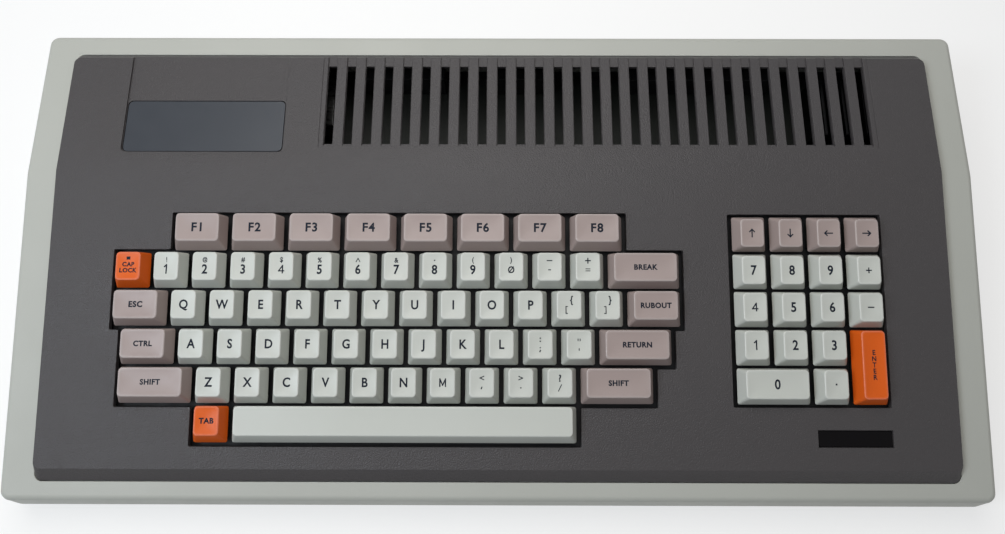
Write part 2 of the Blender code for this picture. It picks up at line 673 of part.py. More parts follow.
def make_deck_panel(brown, keyboard):
    """The dark panel: a shallow lid with key openings, slots and a label recess."""
    wall_bottom = DECK_SEAT_DEPTH - SEAT_GAP
    side, front, rear = DECK_SIDE_DRAFT, DECK_FRONT_CHAMFER, DECK_REAR_CHAMFER
    bm = bmesh.new()
    placed = bridge(bm, [
        deck_ring(-DECK_WALL - side, -DECK_WALL - front, -DECK_WALL - rear,
                  lambda y: rim_z(y) + DECK_RISE - DECK_THICKNESS),
        deck_ring(-DECK_WALL, -DECK_WALL, -DECK_WALL, lambda y: rim_z(y) - wall_bottom),
        deck_ring(0, 0, 0, lambda y: rim_z(y) - wall_bottom),
        deck_ring(0, 0, 0, rim_z),
        deck_ring(-side, -front, -rear, lambda y: rim_z(y) + DECK_RISE),
    ])
    right = CORNER_STEPS + 1
    left = 3 * (CORNER_STEPS + 1) + 1
    for ring in (placed[0], placed[-1]):
        bm.faces.new(ring[right:left + 1])
        bm.faces.new(ring[left:] + ring[:right + 1])
    deck = object_from(bm, "deck_panel", brown)

    hangers = bmesh.new()
    half = HANGER_SIZE / 2
    for x, s in keyboard_post_places():
        add_box(hangers, (x - half, s - half, PLATE_TOP + SEAT_GAP),
                (x + half, s + half, DECK_TOP - DECK_THICKNESS + JOIN_BITE))
    boolean(deck, "UNION", hangers, "deck_hangers", keyboard)

    openings = bmesh.new()
    low, high = PLATE_TOP - CUT_OVERRUN, DECK_TOP + CUT_OVERRUN
    add_prism(openings, main_opening(), low, high)
    add_prism(openings, pad_opening(), low, high)
    half_w, half_h = WINDOW_WIDTH / 2 - WINDOW_LEDGE, WINDOW_HEIGHT / 2 - WINDOW_LEDGE
    add_box(openings, (WINDOW_X - half_w, WINDOW_S - half_h, low),
            (WINDOW_X + half_w, WINDOW_S + half_h, high))
    boolean(deck, "DIFFERENCE", openings, "deck_openings", keyboard)

    pocket = bmesh.new()
    half_w, half_h = WINDOW_WIDTH / 2, WINDOW_HEIGHT / 2
    add_box(pocket, (WINDOW_X - half_w, WINDOW_S - half_h,
                     DECK_TOP - WINDOW_SINK - WINDOW_THICKNESS - SEAT_GAP),
            (WINDOW_X + half_w, WINDOW_S + half_h, high))
    boolean(deck, "DIFFERENCE", pocket, "window_pocket", keyboard)

    above = REAR_DECK_Z + CUT_OVERRUN
    behind = DECK_REAR_Y + LABEL_CORNER + CUT_OVERRUN
    vents = vent_places()
    vent_front = CREASE_Y + VENT_FROM_CREASE
    half = VENT_WIDTH / 2
    field = bmesh.new()
    add_box(field,
            (vents[0] - half - FIELD_MARGIN, vent_front - 2 * GROOVE_LEAD, REAR_DECK_Z - FIELD_DEPTH),
            (vents[-1] + half + FIELD_MARGIN, behind, above))
    boolean(deck, "DIFFERENCE", field, "vent_field")

    grooves = bmesh.new()
    for x in vents:
        add_box(grooves, (x - half, vent_front - GROOVE_LEAD, REAR_DECK_Z - GROOVE_DEPTH),
                (x + half, behind, above))
    add_prism(grooves, label_outline(0, behind), REAR_DECK_Z - LABEL_DEPTH, above)
    boolean(deck, "DIFFERENCE", grooves, "deck_grooves")

    slots = bmesh.new()
    half -= VENT_STEP
    for x in vents:
        add_box(slots, (x - half, vent_front, REAR_DECK_Z - DECK_THICKNESS - CUT_OVERRUN),
                (x + half, vent_front + VENT_LENGTH, above))
    seat_rear = CREASE_Y + LABEL_FROM_CREASE + NAMEPLATE_HEIGHT
    add_prism(slots, label_outline(SEAT_GAP, seat_rear),
              REAR_DECK_Z - LABEL_DEPTH - NAMEPLATE_THICKNESS - SEAT_GAP, above)
    boolean(deck, "DIFFERENCE", slots, "vent_slots_and_label_seat")


def make_nameplate(slate):
    """The plain plate in the label recess."""
    top = REAR_DECK_Z - LABEL_DEPTH
    rear = CREASE_Y + LABEL_FROM_CREASE + NAMEPLATE_HEIGHT - SEAT_GAP
    bm = bmesh.new()
    add_prism(bm, label_outline(2 * SEAT_GAP, rear), top - NAMEPLATE_THICKNESS, top)
    object_from(bm, "nameplate", slate)


def make_status_window(smoked, keyboard):
    half_w, half_h = WINDOW_WIDTH / 2 - SEAT_GAP, WINDOW_HEIGHT / 2 - SEAT_GAP
    top = DECK_TOP - WINDOW_SINK
    bm = bmesh.new()
    add_box(bm, (WINDOW_X - half_w, WINDOW_S - half_h, top - WINDOW_THICKNESS),
            (WINDOW_X + half_w, WINDOW_S + half_h, top))
    object_from(bm, "status_window", smoked, keyboard)


def make_power_lamp(red, keyboard):
    """A lamp on the keyboard's board, standing up under the dark window."""
    radius = LAMP_DIAMETER / 2
    low = KEY_BOARD_TOP + SEAT_GAP
    shoulder = DECK_TOP - WINDOW_SINK - WINDOW_THICKNESS - LAMP_BELOW_WINDOW - radius
    rings = []
    for wide, z in [(radius, low)] + [
        (radius * math.cos(angle), shoulder + radius * math.sin(angle))
        for angle in (0, math.pi / 6, math.pi / 3)
    ]:
        rings.append([
            (WINDOW_X + wide * math.cos(math.tau * n / SMALL_SIDES),
             WINDOW_S + wide * math.sin(math.tau * n / SMALL_SIDES), z)
            for n in range(SMALL_SIDES)
        ])
    bm = bmesh.new()
    close_ends(bm, bridge(bm, rings))
    object_from(bm, "power_lamp", red, keyboard)


# Keyboard
def key_cells():
    """Every key as (node, across, up the slope, width, depth, side inset, set back)."""
    cells = []
    for row, (offset, keys) in enumerate(MAIN_LAYOUT):
        x = MAIN_LEFT_X + offset * KEY_PITCH
        s = KEYS_TO_FRONT + row * KEY_PITCH + KEY_PITCH / 2
        for name, units in keys:
            width = units * KEY_PITCH
            cells.append((name, x + width / 2, s, width, KEY_PITCH, CAP_SIDE_INSET,
                          MAIN_SET_BACK_SHARES[row] * KEY_PITCH))
            x += width
    for name, column, row, wide, deep in PAD_LAYOUT:
        width, depth = wide * KEY_PITCH, deep * KEY_PITCH
        cells.append((name, PAD_LEFT_X + column * KEY_PITCH + width / 2,
                      PAD_TO_FRONT + row * KEY_PITCH + depth / 2, width, depth,
                      PAD_SIDE_INSET, PAD_SET_BACK_SHARES[row] * KEY_PITCH))
    return cells


def add_keycap(bm, x, s, width, depth, side_inset, set_back):
    """A hollow cap with drafted sides, a dished top and a square stem."""
    half_w, half_d = (width - CAP_GAP) / 2, (depth - CAP_END_GAP) / 2
    top_w, top_d = half_w - side_inset, half_d - CAP_END_INSET
    top_s = s + set_back

    def outer_ring(middle, reach_w, reach_d, corner, z):
        outline = rounded(x - reach_w, x + reach_w, middle - reach_d, middle + reach_d,
                          corner, steps=1)
        return [(px, py, z) for px, py in outline]

    def inner_ring(middle, reach_w, reach_d, z):
        return [(x + i * reach_w, middle + j * reach_d, z)
                for i, j in ((1, -1), (1, 1), (-1, 1), (-1, -1))]

    skirt, top = bridge(bm, [
        outer_ring(s, half_w, half_d, CAP_CORNER, CAP_BOTTOM),
        outer_ring(top_s, top_w, top_d, CAP_TOP_CORNER, CAP_TOP),
    ])
    run_w, run_d = max(top_w - top_d, 0), max(top_d - top_w, 0)
    far = bm.verts.new((x + run_w, top_s + run_d, CAP_TOP - CAP_DISH))
    near = bm.verts.new((x - run_w, top_s - run_d, CAP_TOP - CAP_DISH))
    start = 2 if run_d else 0
    turned = top[start:] + top[:start]
    for i in range(3):
        bm.faces.new((turned[i], turned[i + 1], far))
        bm.faces.new((turned[i + 4], turned[(i + 5) % 8], near))
    bm.faces.new((turned[3], turned[4], near, far))
    bm.faces.new((turned[7], turned[0], far, near))

    ceiling = CAP_TOP - CAP_DISH - CAP_ROOF
    inside = bridge(bm, [
        inner_ring(s, half_w - CAP_WALL, half_d - CAP_WALL, CAP_BOTTOM),
        inner_ring(top_s, top_w - CAP_WALL, top_d - CAP_WALL, ceiling),
        inner_ring(s, STEM_SIZE / 2, STEM_SIZE / 2, ceiling),
        inner_ring(s, STEM_SIZE / 2, STEM_SIZE / 2, STEM_BOTTOM),
    ])
    bm.faces.new(inside[-1])
    lip = inside[0]
    for i in range(4):
        bm.faces.new((skirt[2 * i], skirt[2 * i + 1], lip[i]))
        bm.faces.new((skirt[2 * i + 1], skirt[(2 * i + 2) % 8], lip[(i + 1) % 4], lip[i]))


def key_finish(name):
    if name in ORANGE_KEYS:
        return material("orange_cap", (0.72, 0.13, 0.03), 0.42)
    if name in TAUPE_KEYS or name.startswith(("function", "cursor")):
        return material("taupe_cap", (0.36, 0.27, 0.24), 0.48)
    return material("white_cap", (0.66, 0.66, 0.58), 0.48)


def make_keys(keyboard):
    """One object for each key that moves alone, and one for each joined bank."""
    nodes = {}
    for name, *cell in key_cells():
        nodes.setdefault(name, []).append(cell)
    reach, end_reach = CAP_GAP / 2 + WEB_BITE, CAP_END_GAP / 2 + WEB_BITE
    half = WEB_WIDTH / 2
    low, high = CAP_BOTTOM + WEB_LIFT, CAP_BOTTOM + WEB_LIFT + WEB_HEIGHT
    for name, cells in nodes.items():
        bm = bmesh.new()
        for cell in cells:
            add_keycap(bm, *cell)
        middle_x = (cells[0][0] + cells[-1][0]) / 2
        middle_s = (cells[0][1] + cells[-1][1]) / 2
        key = object_from(bm, name, key_finish(name), keyboard, (middle_x, middle_s, CAP_BOTTOM))
        if len(cells) == 1:
            continue
        webs = bmesh.new()
        for x, s, *_ in cells:
            for other_x, other_s, *_ in cells:
                steps = (round((other_x - x) / KEY_PITCH), round((other_s - s) / KEY_PITCH))
                web_x, web_s = (x + other_x) / 2, (s + other_s) / 2
                if steps == (1, 0):
                    add_box(webs, (web_x - reach, web_s - half, low), (web_x + reach, web_s + half, high))
                if steps == (0, 1):
                    add_box(webs, (web_x - half, web_s - end_reach, low),
                            (web_x + half, web_s + end_reach, high))
        boolean(key, "UNION", webs, name + "_webs", keyboard)


def make_keyboard_plate(painted, keyboard):
    """The black painted steel plate that every switch is pressed into."""
    bm = bmesh.new()
    add_box(bm, (MAIN_LEFT_X - PLATE_SIDE_MARGIN, KEYS_TO_FRONT - PLATE_END_MARGIN, PLATE_BOTTOM),
            (PAD_RIGHT_X + PLATE_SIDE_MARGIN, KEYS_TO_REAR + PLATE_END_MARGIN, PLATE_TOP))
    plate = object_from(bm, "keyboard_plate", painted, keyboard)
    holes = bmesh.new()
    half = SWITCH_SIZE / 2 + SEAT_GAP
    low, high = PLATE_BOTTOM - CUT_OVERRUN, PLATE_TOP + CUT_OVERRUN
    for _, x, s, *_ in key_cells():
        add_box(holes, (x - half, s - half, low), (x + half, s + half, high))
    add_rod(holes, (WINDOW_X, WINDOW_S, low), high - low, LAMP_DIAMETER / 2 + SEAT_GAP, SMALL_SIDES)
    boolean(plate, "DIFFERENCE", holes, "plate_holes", keyboard)


def make_keyboard_board(green, keyboard):
    """The keyboard's circuit board with the switch housings soldered to it."""
    bm = bmesh.new()
    add_box(bm, (MAIN_LEFT_X, KEYS_TO_FRONT - KEY_BOARD_MARGIN, KEY_BOARD_BOTTOM),
            (PAD_RIGHT_X, KEYS_TO_REAR + KEY_BOARD_MARGIN, KEY_BOARD_TOP))
    board = object_from(bm, "keyboard_board", green, keyboard)
    housings = bmesh.new()
    waist, top = SWITCH_SIZE / 2, SWITCH_TOP_SIZE / 2
    well = STEM_SIZE / 2 + STEM_PLAY
    for _, x, s, *_ in key_cells():
        close_ends(housings, bridge(housings, [
            square(x, s, waist, KEY_BOARD_TOP - JOIN_BITE),
            square(x, s, waist, PLATE_TOP + SWITCH_COLLAR),
            square(x, s, top, SWITCH_TOP),
            square(x, s, well, SWITCH_TOP),
            square(x, s, well, SWITCH_WELL),
        ]))
    boolean(board, "UNION", housings, "switch_housings", keyboard)
    notches = bmesh.new()
    half = POST_SIZE / 2 + BOARD_POST_CLEARANCE
    for s in POST_ROWS:
        add_box(notches, (POST_COLUMNS[1] - half, s - half, KEY_BOARD_BOTTOM - CUT_OVERRUN),
                (POST_COLUMNS[1] + half, s + half, KEY_BOARD_TOP + CUT_OVERRUN))
    boolean(board, "DIFFERENCE", notches, "post_notches", keyboard)


def make_ribbon_cable(grey):
    """The flat cable from the keyboard's board down to the main board."""
    upper = on_slope(0, KEYS_TO_REAR - KEY_PITCH, KEY_BOARD_BOTTOM)
    start = Vector((upper.y, upper.z - SEAT_GAP - RIBBON_THICKNESS * math.tan(SLOPE)))
    end = Vector((MAIN_BOARD_FRONT_Y + RIBBON_FROM_EDGE, MAIN_BOARD_TOP + SEAT_GAP))
    bend = Vector((0, RIBBON_BEND))
    left, right = [], []
    for step in range(RIBBON_STEPS + 1):
        t = step / RIBBON_STEPS
        point = (start * (1 - t) ** 3 + (start - bend) * 3 * t * (1 - t) ** 2
                 + (end + bend) * 3 * t * t * (1 - t) + end * t ** 3)
        way = (-bend * (1 - t) ** 2 + (end - start + 2 * bend) * 2 * t * (1 - t) - bend * t * t)
        across = Vector((-way.y, way.x)).normalized() * RIBBON_THICKNESS / 2
        left.append(point + across)
        right.append(point - across)
    bm = bmesh.new()
    add_prism(bm, left + right[::-1], -RIBBON_WIDTH / 2, RIBBON_WIDTH / 2, along_x)
    object_from(bm, "ribbon_cable", grey)


# Main board and what stands on it
def make_main_board(green):
    """The main circuit board with its chips soldered on."""
    bm = bmesh.new()
    add_box(bm, (-MAIN_BOARD_WIDTH / 2, MAIN_BOARD_FRONT_Y, MAIN_BOARD_BOTTOM),
            (MAIN_BOARD_WIDTH / 2, MAIN_BOARD_REAR_Y, MAIN_BOARD_TOP))
    board = object_from(bm, "main_board", green)
    chips = bmesh.new()
    y = MAIN_BOARD_FRONT_Y + CHIPS_FROM_FRONT
    for length, depth, count in (
        (SMALL_CHIP_LENGTH, SMALL_CHIP_DEPTH, SMALL_CHIPS),
        (LARGE_CHIP_LENGTH, LARGE_CHIP_DEPTH, LARGE_CHIPS),
    ):
        pitch = MAIN_BOARD_WIDTH / count
        for number in range(count):
            x = (pitch - MAIN_BOARD_WIDTH) / 2 + number * pitch
            add_box(chips, (x - length / 2, y, MAIN_BOARD_TOP - JOIN_BITE),
                    (x + length / 2, y + depth, MAIN_BOARD_TOP + CHIP_HEIGHT))
        y += depth + CHIP_ROW_GAP
    boolean(board, "UNION", chips, "chips")


def make_heat_sink(aluminium):
    """A finned cooler for the voltage regulators, under the last cooling slots."""
    x = rear_x(SINK_SHARE) - SINK_WIDTH / 2
    low = MAIN_BOARD_TOP + SEAT_GAP
    pitch = (SINK_WIDTH - SINK_FIN) / (SINK_FINS - 1)
    outline = [(x, low), (x + SINK_WIDTH, low)]
    for number in reversed(range(SINK_FINS)):
        left = x + number * pitch
        right = left + SINK_FIN
        outline += [(right, low + SINK_HEIGHT), (left, low + SINK_HEIGHT)]
        if number:
            outline += [(left, low + SINK_BASE), (left - pitch + SINK_FIN, low + SINK_BASE)]
    rear = MAIN_BOARD_REAR_Y - SINK_FROM_REAR
    bm = bmesh.new()
    add_prism(bm, outline, rear - SINK_LENGTH, rear, along_y)
    object_from(bm, "heat_sink", aluminium)


# Rear sockets
def socket_block(name, share, width, depth, height, finish):
    """A socket's block, standing on the main board behind the rear wall."""
    x = rear_x(share)
    low = MAIN_BOARD_TOP + SEAT_GAP
    bm = bmesh.new()
    add_box(bm, (x - width / 2, SOCKET_FACE_Y - depth, low),
            (x + width / 2, SOCKET_FACE_Y, low + height))
    return object_from(bm, name, finish)


def add_barrels(block, xs, name):
    """Screened barrel contacts through the rear wall, each with its bore."""
    start, end = SOCKET_FACE_Y - JOIN_BITE, REAR_Y + BARREL_PROUD
    barrels, bores = bmesh.new(), bmesh.new()
    for x in xs:
        add_rod(barrels, (x, start, SOCKET_Z), end - start, BARREL_DIAMETER / 2, ROUND_SIDES, "Y")
        add_rod(bores, (x, end - BARREL_BORE_DEPTH, SOCKET_Z), BARREL_BORE_DEPTH + CUT_OVERRUN,
                BARREL_BORE / 2, SMALL_SIDES, "Y")
    boolean(block, "UNION", barrels, name + "_barrels")
    boolean(block, "DIFFERENCE", bores, name + "_bores")


def make_barrel_sockets(tin, black):
    modulator = socket_block("tv_modulator", MODULATOR_SHARE, MODULATOR_WIDTH, MODULATOR_DEPTH,
                             MODULATOR_HEIGHT, tin)
    add_barrels(modulator, [rear_x(MODULATOR_SHARE)], "modulator")
    width = (JACK_COUNT - 1) * JACK_PITCH + 2 * JACK_MARGIN
    jacks = socket_block("monitor_and_tape_jacks", JACKS_SHARE, width, SOCKET_DEPTH,
                         SOCKET_LIFT + SOCKET_TOP, black)
    add_barrels(jacks, jack_places(), "jack")


def make_power_inlet(black):
    """The low voltage power inlet, with its bore and centre pin."""
    x = rear_x(INLET_SHARE)
    inlet = socket_block("power_inlet", INLET_SHARE, INLET_WIDTH, SOCKET_DEPTH,
                         SOCKET_LIFT + SOCKET_TOP, black)
    start, end = SOCKET_FACE_Y - JOIN_BITE, OUTSIDE_Y
    nose, bore, pin = bmesh.new(), bmesh.new(), bmesh.new()
    add_rod(nose, (x, start, SOCKET_Z), end - start, INLET_NOSE / 2, ROUND_SIDES, "Y")
    floor = end - INLET_BORE_DEPTH
    add_rod(bore, (x, floor, SOCKET_Z), INLET_BORE_DEPTH + CUT_OVERRUN, INLET_BORE / 2,
            ROUND_SIDES, "Y")
    add_rod(pin, (x, floor - JOIN_BITE, SOCKET_Z), INLET_PIN_LENGTH + JOIN_BITE, INLET_PIN / 2,
            SMALL_SIDES, "Y")
    boolean(inlet, "UNION", nose, "inlet_nose")
    boolean(inlet, "DIFFERENCE", bore, "inlet_bore")
    boolean(inlet, "UNION", pin, "inlet_pin")


def shell_outline(grow):
    """The D-shaped shell of the controller port, grown all round."""
    x = rear_x(PORT_SHARE)
    wide, narrow = SHELL_WIDTH / 2 + grow, SHELL_WIDTH / 2 - SHELL_TAPER + grow
    half = SHELL_HEIGHT / 2 + grow
    return [(x - narrow, SOCKET_Z - half), (x + narrow, SOCKET_Z - half),
            (x + wide, SOCKET_Z + half), (x - wide, SOCKET_Z + half)]


def make_controller_port(black):
    """A nine-pin port: a shell through the rear wall with two rows of pins."""
    port = socket_block("controller_port", PORT_SHARE, PORT_WIDTH, SOCKET_DEPTH,
                        SOCKET_LIFT + SOCKET_TOP, black)
    floor, end = SOCKET_FACE_Y + SHELL_WALL, OUTSIDE_Y + SHELL_PROUD
    shell, hollow, pins = bmesh.new(), bmesh.new(), bmesh.new()
    add_prism(shell, shell_outline(0), SOCKET_FACE_Y - JOIN_BITE, end, along_y)
    add_prism(hollow, shell_outline(-SHELL_WALL), floor, end + CUT_OVERRUN, along_y)
    half = PIN_SIZE / 2
    for row, count in enumerate(PINS_IN_ROW):
        z = SOCKET_Z + PIN_ROW_GAP / 2 - row * PIN_ROW_GAP
        for number in range(count):
            x = rear_x(PORT_SHARE) + (number - (count - 1) / 2) * PIN_PITCH
            add_box(pins, (x - half, floor - JOIN_BITE, z - half),
                    (x + half, end - PIN_BELOW_RIM, z + half))
    boolean(port, "UNION", shell, "port_shell")
    boolean(port, "DIFFERENCE", hollow, "port_hollow")
    boolean(port, "UNION", pins, "port_pins")


def make_expansion_socket(black):
    """The long card socket for plug-in units."""
    x = rear_x(EXPANSION_SHARE)
    socket = socket_block("expansion_socket", EXPANSION_SHARE, EXPANSION_WIDTH, SOCKET_DEPTH,
                          SOCKET_LIFT + EXPANSION_HEIGHT / 2 - SEAT_GAP, black)
    nose, slot = bmesh.new(), bmesh.new()
    half_w, half_h = EXPANSION_WIDTH / 2 - SEAT_GAP, EXPANSION_HEIGHT / 2 - SEAT_GAP
    add_box(nose, (x - half_w, SOCKET_FACE_Y - JOIN_BITE, SOCKET_Z - half_h),
            (x + half_w, OUTSIDE_Y, SOCKET_Z + half_h))
    half_w, half_h = EXPANSION_SLOT_WIDTH / 2, EXPANSION_SLOT_HEIGHT / 2
    add_box(slot, (x - half_w, OUTSIDE_Y - EXPANSION_SLOT_DEPTH, SOCKET_Z - half_h),
            (x + half_w, OUTSIDE_Y + CUT_OVERRUN, SOCKET_Z + half_h))
    boolean(socket, "UNION", nose, "expansion_nose")
    boolean(socket, "DIFFERENCE", slot, "expansion_slot")


def make_power_switch(black):
    """The rocker switch's housing, pushed into the rear wall from outside."""
    x = rear_x(POWER_SWITCH_SHARE)
    face = OUTSIDE_Y + SWITCH_FLANGE_THICKNESS
    half_w, half_h = SWITCH_BODY_WIDTH / 2, SWITCH_BODY_HEIGHT / 2
    bm = bmesh.new()
    add_box(bm, (x - half_w, face - SWITCH_BODY_DEPTH, SOCKET_Z - half_h),
            (x + half_w, face - JOIN_BITE, SOCKET_Z + half_h))
    housing = object_from(bm, "power_switch", black)
    flange, mouth, pivot = bmesh.new(), bmesh.new(), bmesh.new()
    add_box(flange, (x - half_w - SWITCH_FLANGE, OUTSIDE_Y, SOCKET_Z - half_h - SWITCH_FLANGE),
            (x + half_w + SWITCH_FLANGE, face, SOCKET_Z + half_h + SWITCH_FLANGE))
    half_w, half_h = ROCKER_WIDTH / 2 + ROCKER_GAP, ROCKER_HEIGHT / 2 + ROCKER_GAP
    swing = ROCKER_WIDTH / 2 * math.sin(ROCKER_TILT)
    add_box(mouth, (x - half_w, ROCKER_PIVOT_Y - ROCKER_BACK - swing - ROCKER_GAP, SOCKET_Z - half_h),
            (x + half_w, face + CUT_OVERRUN, SOCKET_Z + half_h))
    reach = half_h + ROCKER_PIN_BITE + SEAT_GAP
    add_rod(pivot, (x, ROCKER_PIVOT_Y, SOCKET_Z - reach), 2 * reach, ROCKER_PIN / 2 + SEAT_GAP,
            SMALL_SIDES)
    boolean(housing, "UNION", flange, "switch_flange")
    boolean(housing, "DIFFERENCE", mouth, "switch_mouth")
    boolean(housing, "DIFFERENCE", pivot, "switch_pivot")


def make_power_rocker(black):
    """The rocker, off at rest: its right half is pressed in. It turns about Z."""
    half = ROCKER_WIDTH / 2
    front = ROCKER_PIVOT_DEPTH
    rise = half * math.tan(ROCKER_TILT)
    back = half - ROCKER_BACK_INSET
    outline = [(-back, -ROCKER_BACK), (back, -ROCKER_BACK), (half, front + rise), (0, front),
               (-half, front + rise)]
    bm = bmesh.new()
    add_prism(bm, outline, -ROCKER_HEIGHT / 2, ROCKER_HEIGHT / 2)
    rocker = object_from(bm, "power_rocker", black)
    rocker.location = (rear_x(POWER_SWITCH_SHARE), ROCKER_PIVOT_Y, SOCKET_Z)
    rocker.rotation_euler = (0, 0, -ROCKER_TILT)
    pins = bmesh.new()
    reach = ROCKER_HEIGHT / 2 + ROCKER_GAP + ROCKER_PIN_BITE
    add_rod(pins, (0, 0, -reach), 2 * reach, ROCKER_PIN / 2, SMALL_SIDES)
    boolean(rocker, "UNION", pins, "rocker_pins", rocker)


# Feet and screws
def make_feet(rubber):
    """Four rubber feet, each let into the floor."""
    radius = FOOT_DIAMETER / 2
    names = ("foot_front_left", "foot_front_right", "foot_rear_left", "foot_rear_right")
    for name, (x, y) in zip(names, foot_places()):
        bm = bmesh.new()
        rings = []
        for wide, z in ((radius - FOOT_EDGE, 0), (radius, FOOT_EDGE),
                        (radius, CASE_BOTTOM + FOOT_RECESS - SEAT_GAP)):
            rings.append([(wide * math.cos(math.tau * n / ROUND_SIDES),
                           wide * math.sin(math.tau * n / ROUND_SIDES), z)
                          for n in range(ROUND_SIDES)])
        close_ends(bm, bridge(bm, rings))
        foot = object_from(bm, name, rubber)
        foot.location = (x, y, 0)


def make_screws(steel):
    """Four screws up through the tub into the frame's bosses."""
    names = ("case_screw_front_left", "case_screw_front_right",
             "case_screw_rear_left", "case_screw_rear_right")
    for name, (x, y) in zip(names, screw_places()):
        head, shank, slot = bmesh.new(), bmesh.new(), bmesh.new()
        add_rod(head, (0, 0, 0), SCREW_HEAD_HEIGHT, SCREW_HEAD / 2, SMALL_SIDES)
        screw = object_from(head, name, steel)
        screw.location = (x, y, CASE_BOTTOM + SCREW_SINK)
        low = SCREW_HEAD_HEIGHT - JOIN_BITE
        length = SEAM_Z + SCREW_REACH - CASE_BOTTOM - SCREW_SINK - low
        add_rod(shank, (0, 0, low), length, SCREW_SHANK / 2, SMALL_SIDES)
        add_box(slot, (-SCREW_HEAD, -SCREW_SLOT_WIDTH / 2, -CUT_OVERRUN),
                (SCREW_HEAD, SCREW_SLOT_WIDTH / 2, SCREW_SLOT_DEPTH))
        boolean(screw, "UNION", shank, name + "_shank", screw)
        boolean(screw, "DIFFERENCE", slot, name + "_slot", screw)


def shade_round_pieces():
    """Shades every piece smooth, with its real edges kept sharp."""
    for piece in bpy.data.objects:
        if piece.type == "MESH" and not piece.hide_render:
            piece.data.shade_smooth()
            piece.data.set_sharp_from_angle(angle=SMOOTH_UNDER)


def main():
    for old in list(bpy.data.objects):
        bpy.data.objects.remove(old)
    keyboard = bpy.data.objects.new("keyboard_plane", None)
    bpy.context.scene.collection.objects.link(keyboard)
    keyboard.location = (0, FRONT_Y, FRONT_RIM_Z)
    keyboard.rotation_euler = (SLOPE, 0, 0)

    cream = material("cream_case", (0.56, 0.55, 0.47), 0.55)
    brown = material("brown_deck", (0.085, 0.073, 0.068), 0.62)
    slate = material("slate_plate", (0.020, 0.024, 0.030), 0.40)
    smoked = material("smoked_window", (0.006, 0.006, 0.007), 0.12)
    red = material("red_lamp", (0.55, 0.02, 0.02), 0.25)
    steel = material("plated_steel", (0.55, 0.56, 0.57), 0.35, 1.0)
    tin = material("tinned_steel", (0.62, 0.62, 0.60), 0.30, 1.0)
    aluminium = material("anodised_aluminium", (0.45, 0.46, 0.47), 0.40, 1.0)
    green = material("green_board", (0.012, 0.06, 0.03), 0.45)
    grey = material("grey_ribbon", (0.40, 0.41, 0.43), 0.55)
    black = material("black_moulding", (0.012, 0.012, 0.012), 0.45)
    painted = material("black_painted_steel", (0.014, 0.014, 0.015), 0.50)
    rubber = material("black_rubber", (0.018, 0.018, 0.018), 0.85)

    make_lower_case(cream)
    make_upper_case(cream)
    make_deck_panel(brown, keyboard)
    make_nameplate(slate)
    make_status_window(smoked, keyboard)
    make_power_lamp(red, keyboard)
    make_keyboard_plate(painted, keyboard)
    make_keyboard_board(green, keyboard)
    make_keys(keyboard)
    make_ribbon_cable(grey)
    make_main_board(green)
    make_heat_sink(aluminium)
    make_barrel_sockets(tin, black)
    make_power_inlet(black)
    make_controller_port(black)
    make_expansion_socket(black)
    make_power_switch(black)
    make_power_rocker(black)
    make_feet(rubber)
    make_screws(steel)
    shade_round_pieces()


main()
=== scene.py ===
import math

import bmesh
import bpy
from mathutils import Matrix, Vector


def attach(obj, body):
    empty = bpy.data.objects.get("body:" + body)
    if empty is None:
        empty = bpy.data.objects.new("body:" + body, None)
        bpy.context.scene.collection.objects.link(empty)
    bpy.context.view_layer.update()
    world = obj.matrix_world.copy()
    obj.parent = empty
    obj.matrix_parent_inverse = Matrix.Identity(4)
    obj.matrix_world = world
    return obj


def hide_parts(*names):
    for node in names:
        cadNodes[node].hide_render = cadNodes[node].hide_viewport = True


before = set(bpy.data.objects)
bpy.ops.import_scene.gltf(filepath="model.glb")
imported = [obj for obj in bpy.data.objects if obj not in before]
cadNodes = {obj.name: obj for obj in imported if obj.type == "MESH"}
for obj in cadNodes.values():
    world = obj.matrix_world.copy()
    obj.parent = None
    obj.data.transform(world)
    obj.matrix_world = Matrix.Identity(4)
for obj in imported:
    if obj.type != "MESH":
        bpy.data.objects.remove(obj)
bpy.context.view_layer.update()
scene = bpy.context.scene
print("frame loaded,", len(cadNodes), "nodes")

# Camera, lamps and floor

view = {
    "place": (0.0032495, -0.1117555, 0.4201125), "yaw": 0.0093, "tilt": 0.2669, "roll": -0.0066,
    "lens": 27.224, "sensor": 36.0, "clipStart": 0.01,
}
cameraData = bpy.data.cameras.new("camera")
cameraData.lens = view["lens"]
cameraData.sensor_width = view["sensor"]
cameraData.clip_start = view["clipStart"]
camera = bpy.data.objects.new("camera", cameraData)
scene.collection.objects.link(camera)
camera.matrix_world = (
    Matrix.Translation(view["place"]) @ Matrix.Rotation(view["yaw"], 4, "Z")
    @ Matrix.Rotation(view["tilt"], 4, "X") @ Matrix.Rotation(view["roll"], 4, "Z")
)
scene.camera = camera
scene.view_settings.view_transform = "Standard"

studio = {
    "ambient": 0.23, "backdropGlow": 0.60, "floorColour": (0.90, 0.90, 0.89), "floorReach": 4.0,
    "floorRoughness": 0.9, "floorSpecular": 0.1,
    "lamps": (
        # name, place, aimed at, size, watts, colour
        ("window light", (-0.74, -0.24, 0.90), (0, -0.02, 0.03), 0.45, 5.7, (0.82, 0.91, 1.0)),
        ("soft overhead", (-0.08, 0.20, 0.62), (0, 0, 0.03), 0.50, 2.6, (1.0, 0.98, 0.95)),
    ),
}
for lampName, place, target, size, watts, tint in studio["lamps"]:
    lampData = bpy.data.lights.new(lampName, "AREA")
    lampData.shape = "DISK"
    lampData.size = size
    lampData.energy = watts
    lampData.color = tint
    lamp = bpy.data.objects.new(lampName, lampData)
    scene.collection.objects.link(lamp)
    lamp.location = place
    lamp.rotation_mode = "QUATERNION"
    lamp.rotation_quaternion = (Vector(target) - Vector(place)).to_track_quat("-Z", "Y")


